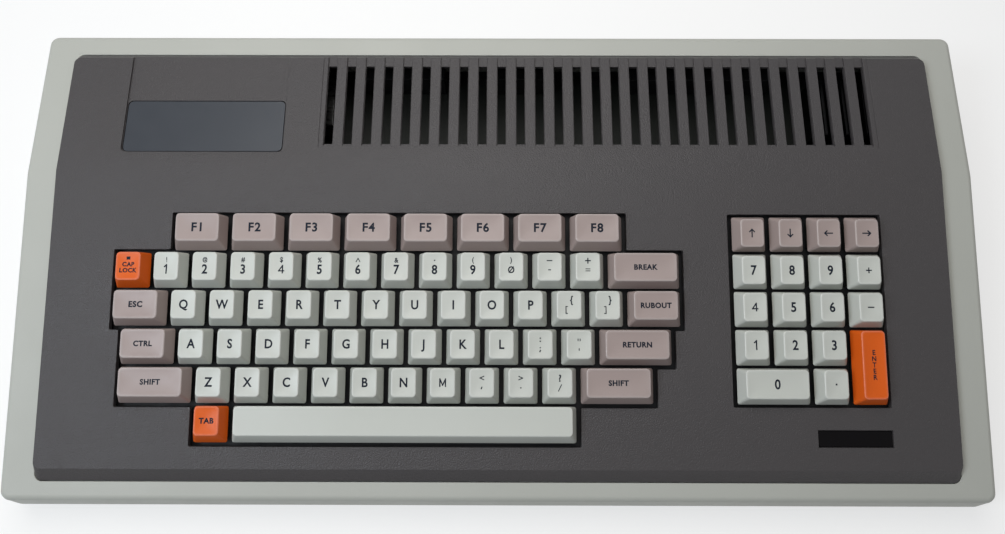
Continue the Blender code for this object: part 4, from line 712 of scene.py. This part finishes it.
for x, y in screwSpots:
    addRod(sinkMesh, (x, y, sinkStart), sinkDepth + tubShape["screwSink"] + play, tubShape["headRadius"], 32)
    addRod(holeMesh, (x, y, tubShape["holeStart"]), seam + past - tubShape["holeStart"],
           frameShape["screwHole"], 24)
carve(creamTub, sinkMesh)
carve(creamTub, holeMesh)
# Faces inside the tub's walls are marked for the painted shade
markInside(creamTub, lambda at: withinWalls(at, flare - wall + 0.0001) and at.z > tubFloor - 0.0001)
finishPiece(creamTub, "cream case", "case", ["lower_case"])
print("cream tub made")

# Keys: the layout

mainRows = (
    # offset in keys, share of the pitch that the tops are set back, keys as (name, width)
    (2.25, 0.1105, (("tab_key", 1), ("space_bar", 9))),
    (0.25, 0.084, (("left_shift_key", 2),) + 5 * (("lower_keys_left", 1),)
     + 5 * (("lower_keys_right", 1),) + (("right_shift_key", 2),)),
    (0.25, 0.063, (("control_key", 1.5),) + 6 * (("home_keys_left", 1),)
     + 5 * (("home_keys_right", 1),) + (("return_key", 2),)),
    (0, 0.0785, (("escape_key", 1.5),) + 6 * (("upper_keys_left", 1),)
     + 6 * (("upper_keys_right", 1),) + (("rubout_key", 1.5),)),
    (0, 0.0785, (("capitals_lock_key", 1),) + 6 * (("digit_keys_left", 1),)
     + 6 * (("digit_keys_right", 1),) + (("break_key", 2),)),
    (1.5, 0.1155, tuple((f"function_key_{number}", 1.5) for number in range(1, 9))),
)
padSetBacks = (0.063, 0.063, 0.042, 0.0055, -0.0155)
padKeys = (
    # name, column, row, width, depth
    ("pad_zero_key", 0, 0, 2, 1), ("pad_keys_lower", 2, 0, 1, 1), ("enter_key", 3, 0, 1, 2),
    *(("pad_keys_lower", column, 1, 1, 1) for column in range(3)),
    *(("pad_keys_upper", column, row, 1, 1) for row in (2, 3) for column in range(4)),
    ("cursor_up_key", 0, 4, 1, 1), ("cursor_down_key", 1, 4, 1, 1),
    ("cursor_left_key", 2, 4, 1, 1), ("cursor_right_key", 3, 4, 1, 1),
)
orangeKeys = ("tab_key", "capitals_lock_key", "enter_key")
taupeKeys = ("left_shift_key", "right_shift_key", "control_key", "return_key", "escape_key",
             "rubout_key", "break_key")

capShape = {
    "gap": 0.0022, "endGap": 0.0013, "height": keyLines["capHeight"], "sideInset": 0.0024,
    "padSideInset": 0.0027, "endInset": 0.00188, "skirtCorner": 0.0010, "topCorner": 0.0018,
    "topRound": 0.0007, "skirtRound": 0.00025, "dish": 0.0006, "spaceDish": 0.00015, "wall": 0.0014,
    "roof": 0.0018, "stem": 0.0040, "stemBelow": 0.0030, "spacing": 0.0026, "cornerSteps": 3,
    "innerCorner": 0.0006, "stemArm": 0.0014,
}
keySpots = {}  # name: list of (x, s, width, depth, side inset, set back)
for row, (offset, setBack, keys) in enumerate(mainRows):
    x = mainLeft + offset * keyPitch
    for name, units in keys:
        keySpots.setdefault(name, []).append((
            x + units * keyPitch / 2, keysToFront + (row + 0.5) * keyPitch, units * keyPitch, keyPitch,
                capShape["sideInset"], setBack * keyPitch))
        x += units * keyPitch
for name, column, row, wide, deep in padKeys:
    keySpots.setdefault(name, []).append((
        padLeft + (column + wide / 2) * keyPitch, padToFront + (row + deep / 2) * keyPitch,
        wide * keyPitch, deep * keyPitch, capShape["padSideInset"], padSetBacks[row] * keyPitch))

# The deck panel

deckShape = {
    "thickness": 0.0030, "wall": 0.0024, "sideDraft": 0.0008, "frontChamfer": 0.0054,
    "rearChamfer": 0.0038, "wallBottom": 0.0033, "edgeRound": 0.00035, "keyClearance": 0.0013,
    "padClearance": 0.0008, "openingCorner": 0.0007,
    "slots": 29, "slotPitch": 0.01004, "slotWidth": 0.0048, "slotLength": 0.0452, "slotFirst": 0.1396,
    "slotFromCrease": 0.0152, "grooveDepth": 0.0012, "grooveLead": 0.0010, "fieldDepth": 0.00035,
    "fieldMargin": 0.0024, "slotStep": 0.0002,
    "labelLeft": 0.0324, "labelWidth": 0.0840, "labelFromCrease": 0.0104, "labelDepth": 0.0009,
    "labelCorner": 0.0024, "plateHeight": 0.0294, "plateThickness": 0.0010,
    "windowWidth": 0.0368, "windowHeight": 0.0083, "windowLedge": 0.0012, "windowToPad": 0.0117,
    "windowDepth": 0.0023, "hanger": 0.0060, "cutUnder": 0.0060, "cutOver": 0.0070, "cutBehind": 0.0060,
    "cutAbove": 0.0020,
}
deckZ = rearRimZ + caseLines["deckRise"]
draft, frontRun, rearRun = deckShape["sideDraft"], deckShape["frontChamfer"], deckShape["rearChamfer"]
deckMesh = bmesh.new()
thick = deckShape["wall"]
placed = bridge(deckMesh, [
    deckRing(-thick - draft, -thick - frontRun, -thick - rearRun,
             lambda y: rimZ(y) + caseLines["deckRise"] - deckShape["thickness"]),
    deckRing(-thick, -thick, -thick, lambda y: rimZ(y) - deckShape["wallBottom"]),
    deckRing(0, 0, 0, lambda y: rimZ(y) - deckShape["wallBottom"]),
    deckRing(0, 0, 0, rimZ),
    deckRing(-draft, -frontRun, -rearRun, lambda y: rimZ(y) + caseLines["deckRise"]),
])
for ring in (placed[0], placed[-1]):
    deckMesh.faces.new(ring[9:29])
    deckMesh.faces.new(ring[28:] + ring[:10])
deckPanel = meshObject(deckMesh, "deck_shell")


# The stepped outline round the main block, as (across, up the slope)
def mainOpening():
    clear = deckShape["keyClearance"]
    edges = []
    for offset, setBack, keys in mainRows:
        left = mainLeft + offset * keyPitch
        edges.append((left - clear, left + sum(units for _, units in keys) * keyPitch + clear))
    paths = []
    for side, outwards in ((0, -1), (1, 1)):
        path = [(edges[0][side], keysToFront - clear)]
        for row in range(5):
            here, above = edges[row][side], edges[row + 1][side]
            step = outwards * (above - here)
            if abs(step) < clear:
                continue
            line = keysToFront + (row + 1) * keyPitch - math.copysign(clear, step)
            path += [(here, line), (above, line)]
        path.append((edges[-1][side], keysToFront + 6 * keyPitch + clear))
        paths.append(path)
    return paths[1] + paths[0][::-1]


hangerMesh = bmesh.new()
for x in postColumns:
    for s in postRows:
        half = deckShape["hanger"] / 2
        addBlock(hangerMesh, (x - half, s - half, plateTop + play),
                 (x + half, s + half, deckTop - deckShape["thickness"] + bite))
carve(deckPanel, hangerMesh, "UNION", keyboardPlane)

padClear = deckShape["padClearance"]
padTop = keysToFront + 6 * keyPitch + padClear
openingMesh = bmesh.new()
cutLow, cutHigh = -deckShape["cutUnder"], deckShape["cutOver"]
addPrism(openingMesh, softCorners(mainOpening(), deckShape["openingCorner"]), cutLow, cutHigh)
padOpening = [(padLeft - padClear, padToFront - padClear), (padRight + padClear, padToFront - padClear),
              (padRight + padClear, padTop), (padLeft - padClear, padTop)]
addPrism(openingMesh, softCorners(padOpening, deckShape["openingCorner"]), cutLow, cutHigh)
windowX = padRight + padClear - deckShape["windowWidth"] / 2
windowS = padToFront - deckShape["windowToPad"] - deckShape["windowHeight"] / 2
halfW, halfH = deckShape["windowWidth"] / 2, deckShape["windowHeight"] / 2
ledge = deckShape["windowLedge"]
addBlock(openingMesh, (windowX - halfW + ledge, windowS - halfH + ledge, cutLow),
         (windowX + halfW - ledge, windowS + halfH - ledge, cutHigh))
carve(deckPanel, openingMesh, placed=keyboardPlane)
pocketMesh = bmesh.new()
addBlock(pocketMesh, (windowX - halfW, windowS - halfH, deckTop - deckShape["windowDepth"]),
         (windowX + halfW, windowS + halfH, deckTop + deckShape["cutAbove"]))
carve(deckPanel, pocketMesh, placed=keyboardPlane)

slotX = -halfDeck + deckShape["slotFirst"]
slotY = creaseY + deckShape["slotFromCrease"]
lastX = slotX + (deckShape["slots"] - 1) * deckShape["slotPitch"]
halfSlot = deckShape["slotWidth"] / 2
behind = deckRearY + deckShape["cutBehind"]
above = deckZ + deckShape["cutAbove"]
fieldMesh = bmesh.new()
addBlock(fieldMesh, (slotX - halfSlot - deckShape["fieldMargin"], slotY - 2 * deckShape["grooveLead"],
                     deckZ - deckShape["fieldDepth"]),
         (lastX + halfSlot + deckShape["fieldMargin"], behind, above))
carve(deckPanel, fieldMesh)


# A row of blocks that cuts every cooling slot or groove at once
def slotTool(name, width, start, end, low):
    return runTree(rowTree, name, {
        "Count": deckShape["slots"], "First": (slotX, (start + end) / 2, (low + above) / 2),
        "Step": (deckShape["slotPitch"], 0.0, 0.0), "Size": (width, end - start, above - low),
        "Finish": finishes["brown deck"]})


def labelOutline(inset, rear):
    left = -halfDeck + deckShape["labelLeft"]
    return roundedOutline(left + inset, left + deckShape["labelWidth"] - inset,
                          creaseY + deckShape["labelFromCrease"] + inset, rear, deckShape["labelCorner"], 6)


carve(deckPanel, slotTool("grooves", deckShape["slotWidth"], slotY - deckShape["grooveLead"], behind,
                          deckZ - deckShape["grooveDepth"]))
slotUnder = deckZ - deckShape["thickness"] - deckShape["cutAbove"]
carve(deckPanel, slotTool("slots", deckShape["slotWidth"] - 2 * deckShape["slotStep"], slotY,
                          slotY + deckShape["slotLength"], slotUnder))
labelMesh = bmesh.new()
addPrism(labelMesh, labelOutline(0, behind), deckZ - deckShape["labelDepth"], above)
carve(deckPanel, labelMesh)
seatRear = creaseY + deckShape["labelFromCrease"] + deckShape["plateHeight"]
seatMesh = bmesh.new()
addPrism(seatMesh, labelOutline(play, seatRear),
         deckZ - deckShape["labelDepth"] - deckShape["plateThickness"] - play, above)
carve(deckPanel, seatMesh)


# True for an edge that lies in the deck's top or in the sunk field's floor
def onDeckSurface(edge):
    def level(vert):
        drop = rimZ(vert.co.y) + caseLines["deckRise"] - vert.co.z
        return abs(drop) < 0.00003 or abs(drop - deckShape["fieldDepth"]) < 0.00003
    return all(level(vert) for vert in edge.verts)


roundEdges(deckPanel, deckShape["edgeRound"] * 0.8, 2, onDeckSurface)
deckPanel.name = "deck_panel_skin"
finishPiece(deckPanel, "brown deck", "case", ["deck_panel"])
print("deck panel made")


# Pieces kept from the CAD's shapes, with rounded edges

# A merged copy of a CAD node's mesh with its edges rounded
def detailedCopy(node, name, width, steps, finish):
    copy = bpy.data.objects.new(name, cadNodes[node].data.copy())
    scene.collection.objects.link(copy)
    copy.data.materials.clear()
    roundEdges(copy, width, steps, over=35, clamp=True)
    finishPiece(copy, finish, "power_rocker" if node == "power_rocker" else "case", [node])


detailedCopy("nameplate", "bare_nameplate", 0.00025, 3, "slate plate")
detailedCopy("status_window", "status_lens", 0.00025, 3, "smoked window")

# Keycaps

# Half sizes of the skirt, of the top where its flat starts, and the slope of the sides
def capSizes(width, depth, sideInset):
    halfW, halfD = (width - capShape["gap"]) / 2, (depth - capShape["endGap"]) / 2
    lean = math.atan((sideInset + capShape["endInset"]) / 2 / capShape["height"])
    shrink = capShape["topRound"] * (1 - math.sin(lean)) / math.cos(lean)
    return halfW, halfD, halfW - sideInset, halfD - capShape["endInset"], lean, shrink


# How far the dished top lies below its rim
def dishDrop(x, s, halfW, halfD, deep):
    across, along = min(abs(x) / halfW, 1), min(abs(s) / halfD, 1)
    return deep * (1 - across ** max(2, 2 * halfW / halfD)) * (1 - along ** max(2, 2 * halfD / halfW))


# One ring of a cap: round corners with evenly divided sides between them
def capRing(bm, layer, middle, halfW, halfD, corner, height, wornAndLit, counts, drop=None):
    points = []
    corner = max(corner, 0.00001)
    steps = capShape["cornerSteps"]
    corners = ((1, -1, -90), (1, 1, 0), (-1, 1, 90), (-1, -1, 180))
    for number, (i, j, start) in enumerate(corners):
        x, s = i * (halfW - corner), j * (halfD - corner)
        arc = []
        for step in range(steps + 1):
            angle = math.radians(start + 90 * step / steps)
            arc.append((x + corner * math.cos(angle), s + corner * math.sin(angle)))
        points += arc
        i, j, start = corners[(number + 1) % 4]
        angle = math.radians(start)
        goal = (i * (halfW - corner) + corner * math.cos(angle),
                j * (halfD - corner) + corner * math.sin(angle))
        count = counts[number % 2]
        for part in range(1, count):
            share = part / count
            points.append(tuple(a + (b - a) * share for a, b in zip(arc[-1], goal)))
    ring = []
    for x, s in points:
        vert = bm.verts.new((x, middle + s, height - (drop(x, s) if drop else 0)))
        vert[layer] = wornAndLit
        ring.append(vert)
    return ring


# A hollow cap with round edges, a dished top and a cross-shaped stem, round its own place
def buildCap(width, depth, sideInset, setBack, deep):
    halfW, halfD, topW, topD, lean, shrink = capSizes(width, depth, sideInset)
    tall, roundness = capShape["height"], capShape["topRound"]
    counts = [max(2, round(length / capShape["spacing"] / 1.6)) for length in (depth, width)]
    bm = bmesh.new()
    # Per-vertex weight for edge wear and the painted edge highlight
    layer = bm.verts.layers.float.new("wearAndHighlight")

    def side(height, less=0.0, wornAndLit=0.0):
        part = height / tall
        corner = capShape["skirtCorner"] + (capShape["topCorner"] - capShape["skirtCorner"]) * part
        return capRing(bm, layer, setBack * part, halfW + (topW - halfW) * part - less,
                       halfD + (topD - halfD) * part - less, corner - less, height, wornAndLit, counts)

    rings = [side(0.0, capShape["skirtRound"]), side(capShape["skirtRound"])]
    rings.append(side(tall * 0.5))
    for number in range(5):
        angle = lean + (math.pi / 2 - lean) * number / 4
        out = roundness * math.cos(angle) - shrink
        height = tall - roundness + roundness * math.sin(angle)
        # The top-edge rings carry the weight for wear and the painted highlight
        wornAndLit = (0.0, 0.7, 1.0, 0.8, 0.35)[number]
        rings.append(capRing(bm, layer, setBack * min(height / tall, 1), topW + out, topD + out,
                             capShape["topCorner"] + out, height, wornAndLit, counts))
    flatW, flatD = topW - shrink, topD - shrink
    corner = capShape["topCorner"] - shrink
    short = min(flatW, flatD)
    for share in (0.12, 0.30, 0.55, 0.80, 1.0):
        inwards = short * share
        rings.append(capRing(
            bm, layer, setBack, flatW - inwards, flatD - inwards, min(corner, short - inwards), tall, 0.0,
            counts, lambda x, s: dishDrop(x, s, flatW, flatD, deep)))
    wall = capShape["wall"]
    ceiling = tall - deep - capShape["roof"]
    inner = [
        capRing(bm, layer, 0.0, halfW - wall, halfD - wall, capShape["innerCorner"], 0.0, 0.0, counts),
        capRing(bm, layer, setBack, topW - wall, topD - wall, capShape["innerCorner"], ceiling, 0.0, counts),
    ]
    chain = [inner[1], inner[0], *rings]
    for one, other in zip(chain, chain[1:]):
        for i in range(len(one)):
            bm.faces.new((one[i - 1], one[i], other[i], other[i - 1]))
    bm.faces.new(inner[1][::-1])
    bmesh.ops.remove_doubles(bm, verts=rings[-1] + rings[-2], dist=0.00004)
    arm, thin = capShape["stem"] / 2, capShape["stemArm"] / 2
    cross = [(arm, -thin), (arm, thin), (thin, thin), (thin, arm), (-thin, arm), (-thin, thin),
             (-arm, thin), (-arm, -thin), (-thin, -thin), (-thin, -arm), (thin, -arm), (thin, -thin)]
    addPrism(bm, cross, -capShape["stemBelow"], ceiling + play)
    bmesh.ops.recalc_face_normals(bm, faces=bm.faces)
    return bm


capLibrary = {}
for name, spots in keySpots.items():
    colour = "orange" if name in orangeKeys else "white"
    if name in taupeKeys or name.startswith(("function", "cursor")):
        colour = "taupe"
    finish = colour + " keycap"
    joined = bmesh.new()
    for kind in sorted({spot[2:] for spot in spots}):
        deep = capShape["spaceDish"] if name == "space_bar" else capShape["dish"]
        if (kind, deep) not in capLibrary:
            shape = meshObject(buildCap(*kind, deep), "cap_shape")
            scene.collection.objects.unlink(shape)
            capLibrary[(kind, deep)] = shape
        copies = runTree(copiesTree, "caps", {"Shape": capLibrary[(kind, deep)], "Finish": finishes[finish]},
                         [(spot[0], spot[1], capBottom) for spot in spots if spot[2:] == kind])
        joined.from_mesh(copies.data)
        bpy.data.objects.remove(copies)
    caps = bpy.data.meshes.new(name)
    joined.to_mesh(caps)
    joined.free()
    caps.transform(keyboardPlane)
    piece = bpy.data.objects.new(name + "_cap", caps)
    scene.collection.objects.link(piece)
    finishPiece(piece, finish, name, [name], sharp=50)
print("keycaps made:", sum(len(spots) for spots in keySpots.values()))

# Legends on the caps

# Heights of capitals in millimetres, spreads of strokes and a squeeze across as shares, then lengths
# in metres: the facets that follow the dish, and how far the ink stands up and reaches down
legendStyle = {"letter": 4.3, "digit": 4.4, "padDigit": 4.5, "spread": 0.026, "signSpread": 0.030,
               "wordSpread": 0.042, "squeeze": 0.88,
               "facet": 0.0012, "above": 0.00003, "sunk": 0.00006}

# Signs drawn with straight strokes in millimetres: (stroke width, strokes)
plainDigit = ((0.0, -2.1), (0.0, 2.1)), ((0.0, 1.95), (-0.95, 1.2))
drawnSigns = {
    "1": (0.66, plainDigit),
    "4": (0.62, (((0.65, -1.85), (0.65, 1.85)), ((0.60, 1.80), (-1.25, -0.85)),
                 ((-1.25, -0.85), (1.30, -0.85)))),
    "M": (0.62, (((-1.35, -1.78), (-1.35, 1.78)), ((-1.30, 1.60), (0, -1.20)), ((0, -1.20), (1.30, 1.60)),
                 ((1.35, 1.78), (1.35, -1.78)))),
    "!": (0.40, (((0, 1.1), (0, -0.25)), ((0, -1.0), (0, -1.02)))),
    "+": (0.58, (((-1.15, 0), (1.15, 0)), ((0, -1.15), (0, 1.15)))),
    "=": (0.42, (((-1.0, 0.5), (1.0, 0.5)), ((-1.0, -0.5), (1.0, -0.5)))),
    "_": (0.50, (((-1.15, 0), (1.15, 0)),)), "-": (0.55, (((-0.4, 0), (0.4, 0)),)),
    "−": (0.60, (((-1.3, 0), (1.3, 0)),)), "·": (0.80, (((-0.01, 0), (0.01, 0)),)),
    "*": (0.62, (((-0.01, 0), (0.01, 0)),)), "'": (0.46, (((0, -0.4), (0, 0.4)),)),
    "\"": (0.46, (((-0.5, -0.4), (-0.5, 0.4)), ((0.5, -0.4), (0.5, 0.4)))),
    "^": (0.40, (((-0.95, -0.8), (0, 0.9)), ((0, 0.9), (0.95, -0.8)))),
    "<": (0.44, (((1.0, 0.85), (-0.9, 0)), ((-0.9, 0), (1.0, -0.85)))),
    ">": (0.44, (((-1.0, 0.85), (0.9, 0)), ((0.9, 0), (-1.0, -0.85)))),
    "[": (0.46, (((0.35, 1.7), (-0.35, 1.7)), ((-0.35, 1.7), (-0.35, -1.7)),
                 ((-0.35, -1.7), (0.35, -1.7)))),
    "]": (0.46, (((-0.35, 1.7), (0.35, 1.7)), ((0.35, 1.7), (0.35, -1.7)),
                 ((0.35, -1.7), (-0.35, -1.7)))),
    "/": (0.44, (((-0.75, -1.5), (0.75, 1.5)),)), ".": (0.60, (((-0.01, 0), (0.01, 0)),)),
    ",": (0.55, (((0.05, 0.2), (-0.2, -0.45)),)),
    ":": (0.62, (((-0.01, 0.75), (0.01, 0.75)), ((-0.01, -0.75), (0.01, -0.75)))),
    ";": (0.58, (((-0.01, 0.8), (0.01, 0.8)), ((0.05, -0.5), (-0.2, -1.1)))),
    "lamp window": (1.55, (((-0.15, 0), (0.15, 0)),)),
    "cursor_up_key": (0.62, (((0, -1.9), (0, 1.7)), ((0, 1.9), (-1.15, 0.7)), ((0, 1.9), (1.15, 0.7)))),
}


# Each legend is a row of (text, across, up, height of a capital, spread)
def pair(upper, lower, shift=0.0, signSize=3.2, lowerSize=3.2):
    return ((upper, shift, 2.3, signSize, legendStyle["signSpread"]),
            (lower, -shift, -2.4, lowerSize, legendStyle["spread"]))


def digit(sign, number):
    signSize = 1.9 if sign == "@" else 2.3
    return ((sign, 0.0, 3.1, signSize, legendStyle["signSpread"]),
            (number, 0.0, -1.5, legendStyle["digit"] if number != "Ø" else 3.2, legendStyle["spread"]))


def letters(row, size=legendStyle["letter"]):
    return [((letter, 0.0, 0.0, size, legendStyle["spread"]),) for letter in row]


def word(text, size=2.45):
    return [((text, 0.0, 0.0, size, legendStyle["wordSpread"]),)]


legends = {
    "tab_key": word("TAB", 2.5), "escape_key": word("ESC", 2.7), "control_key": word("CTRL"),
    "left_shift_key": word("SHIFT"), "right_shift_key": word("SHIFT"),
    "return_key": word("RETURN"), "rubout_key": word("RUBOUT"), "break_key": word("BREAK"),
    "capitals_lock_key": [(("lamp window", 0.0, 3.9, 1.0, 0.0), ("CAP", 0.0, 0.8, 2.05, 0.042),
                           ("LOCK", 0.0, -2.2, 2.05, 0.042))],
    "digit_keys_left": [digit(*text) for text in ("!1", "@2", "#3", "$4", "%5", "^6")],
    "digit_keys_right": [digit(*text) for text in ("&7", "*8", "(9", ")Ø", "_-", "+=")],
    "upper_keys_left": letters("QWERTY"),
    "upper_keys_right": letters("UIOP") + [pair("{", "[", 1.2), pair("}", "]", 1.2)],
    "home_keys_left": letters("ASDFGH"),
    "home_keys_right": letters("JKL") + [pair(":", ";"), pair("\"", "'")],
    "lower_keys_left": letters("ZXCVB"),
    "lower_keys_right": letters("NM") + [pair("<", ","), pair(">", "."), pair("?", "/")],
    "pad_zero_key": letters("0", legendStyle["padDigit"]),
    "pad_keys_lower": letters("·123", legendStyle["padDigit"]),
    "pad_keys_upper": letters("456−789+", legendStyle["padDigit"]),
    "enter_key": [tuple((text, 0.0, 6.0 - 3.0 * place, 2.3, 0.03) for place, text in enumerate("ENTER"))],
    **{f"function_key_{number}": [((f"F{number}", 0.0, 0.0, 4.2, 0.030),)] for number in range(1, 9)},
}


# A flat solid of some text at size 1, centred on its own place
def letterMesh(text, spread):
    curve = bpy.data.curves.new("letters", "FONT")
    curve.body = text
    curve.align_x = "CENTER"
    curve.size = 1.0
    curve.offset = spread
    curve.extrude = 0.01
    curve.resolution_u = 3
    if len(text) > 1:
        curve.space_character = 1.15 if text[0] == "F" else 1.1
    host = bpy.data.objects.new("letters", curve)
    scene.collection.objects.link(host)
    depsgraph = bpy.context.evaluated_depsgraph_get()
    depsgraph.update()
    mesh = bpy.data.meshes.new_from_object(host.evaluated_get(depsgraph))
    bpy.data.objects.remove(host)
    if len(text) == 1:
        mesh.transform(Matrix.Diagonal((legendStyle["squeeze"], 1, 1, 1)))
    return mesh


capitalHeight = max(vert.co.y for vert in letterMesh("H", 0.0).vertices)


# A flat solid of straight strokes, each a thin block from one point to another
def strokeMesh(strokes, thick):
    bm = bmesh.new()
    for (x0, y0), (x1, y1) in strokes:
        start, end = Vector((x0, y0)), Vector((x1, y1))
        way = (end - start).normalized() * thick / 2
        across = Vector((-way.y, way.x))
        start, end = start - way, end + way
        corners = (start + across, start - across, end - across, end + across)
        addPrism(bm, [tuple(corner) for corner in corners], -0.01, 0.01)
    bmesh.ops.recalc_face_normals(bm, faces=bm.faces)
    mesh = bpy.data.meshes.new("strokes")
    bm.to_mesh(mesh)
    bm.free()
    return mesh


arrowTurns = {"cursor_up_key": 0, "cursor_down_key": 180, "cursor_left_key": 90, "cursor_right_key": -90}


# Adds a flat shape to a bmesh, bent to the dished top of the cap at a key's place
def layOnCap(bm, mesh, spot, deep, across, up, scale):
    x, s, width, depth, sideInset, setBack = spot
    halfW, halfD, topW, topD, lean, shrink = capSizes(width, depth, sideInset)
    part = bmesh.new()
    part.from_mesh(mesh)
    for vert in part.verts:
        vert.co = Vector((vert.co.x * scale + across, vert.co.y * scale + up, vert.co.z))
    for axis in (0, 1):
        low = min(vert.co[axis] for vert in part.verts)
        high = max(vert.co[axis] for vert in part.verts)
        line = math.ceil(low / legendStyle["facet"]) * legendStyle["facet"]
        while line < high:
            bmesh.ops.bisect_plane(
                part, geom=part.verts[:] + part.edges[:] + part.faces[:], dist=0.0000001,
                plane_co=(line, 0, 0) if axis == 0 else (0, line, 0),
                plane_no=(1, 0, 0) if axis == 0 else (0, 1, 0))
            line += legendStyle["facet"]
    for vert in part.verts:
        surface = capTop - dishDrop(vert.co.x, vert.co.y, topW - shrink, topD - shrink, deep)
        vert.co = Vector((x + vert.co.x, s + setBack + vert.co.y,
                          surface + (legendStyle["above"] if vert.co.z > 0 else -legendStyle["sunk"])))
    laid = bpy.data.meshes.new("laid")
    part.to_mesh(laid)
    part.free()
    bm.from_mesh(laid)


for name, spots in keySpots.items():
    bm = bmesh.new()
    if name in arrowTurns:
        ink, strokes = drawnSigns["cursor_up_key"]
        mesh = strokeMesh(strokes, ink)
        mesh.transform(Matrix.Rotation(math.radians(arrowTurns[name]), 4, "Z"))
        layOnCap(bm, mesh, spots[0], capShape["dish"], 0.0, 0.0, 0.001)
    elif name in legends:
        for spot, entries in zip(spots, legends[name]):
            for text, across, up, size, spread in entries:
                if text in drawnSigns:
                    ink, strokes = drawnSigns[text]
                    mesh, scale, lift = strokeMesh(strokes, ink), 0.001, 0.0
                else:
                    mesh, scale, lift = letterMesh(text, spread), size / 1000 / capitalHeight, -size / 2000
                if text not in drawnSigns and not text.isalnum():  # centred on its own outline
                    tops = [vert.co.y for vert in mesh.vertices]
                    lift = -(max(tops) + min(tops)) / 2 * scale
                layOnCap(bm, mesh, spot, capShape["dish"], across / 1000, up / 1000 + lift, scale)
    else:
        bm.free()
        continue
    bmesh.ops.remove_doubles(bm, verts=bm.verts, dist=0.0000005)
    piece = meshObject(bm, name + "_legend")
    piece.data.transform(keyboardPlane)
    piece.data.materials.append(finishes["legend ink"])
    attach(piece, name)
print("legends made")

# Other CAD pieces: rounded copies with their own finish

copyPlan = (
    # node, new name, edge width, steps, finish
    ("power_lamp", "power_lamp_lens", 0.0003, 2, "red lamp"),
    ("heat_sink", "finned_cooler", 0.0002, 2, "anodised aluminium"),
    ("tv_modulator", "modulator_can", 0.0004, 3, "tinned steel"),
    ("monitor_and_tape_jacks", "jack_block", 0.0003, 3, "black moulding"),
    ("power_inlet", "power_inlet_block", 0.0003, 3, "black moulding"),
    ("controller_port", "controller_port_block", 0.0002, 2, "black moulding"),
    ("expansion_socket", "expansion_socket_block", 0.0003, 3, "black moulding"),
    ("power_switch", "power_switch_bezel", 0.0004, 3, "black moulding"),
    ("power_rocker", "power_rocker_paddle", 0.0004, 3, "black moulding"),
    *((f"foot_{spot}", f"rubber_foot_{spot}", 0.0005, 3, "black rubber")
      for spot in ("front_left", "front_right", "rear_left", "rear_right")),
    *((f"case_screw_{spot}", f"screw_{spot}", 0.00025, 2, "plated steel")
      for spot in ("front_left", "front_right", "rear_left", "rear_right")),
)
for entry in copyPlan:
    detailedCopy(*entry)

# Boards, plate and ribbon keep their CAD mesh
# The plate and boards get near-black finishes as painted shade; the ribbon keeps its own grey
for node, finish in (("keyboard_plate", "black stove enamel"), ("keyboard_board", "board darkened as painted shade"),
                     ("main_board", "board darkened as painted shade"), ("ribbon_cable", "grey ribbon")):
    for materialSlot in cadNodes[node].material_slots:
        materialSlot.link = "OBJECT"
        materialSlot.material = finishes[finish]
print("inside and rear pieces dressed")

bpy.context.view_layer.update()
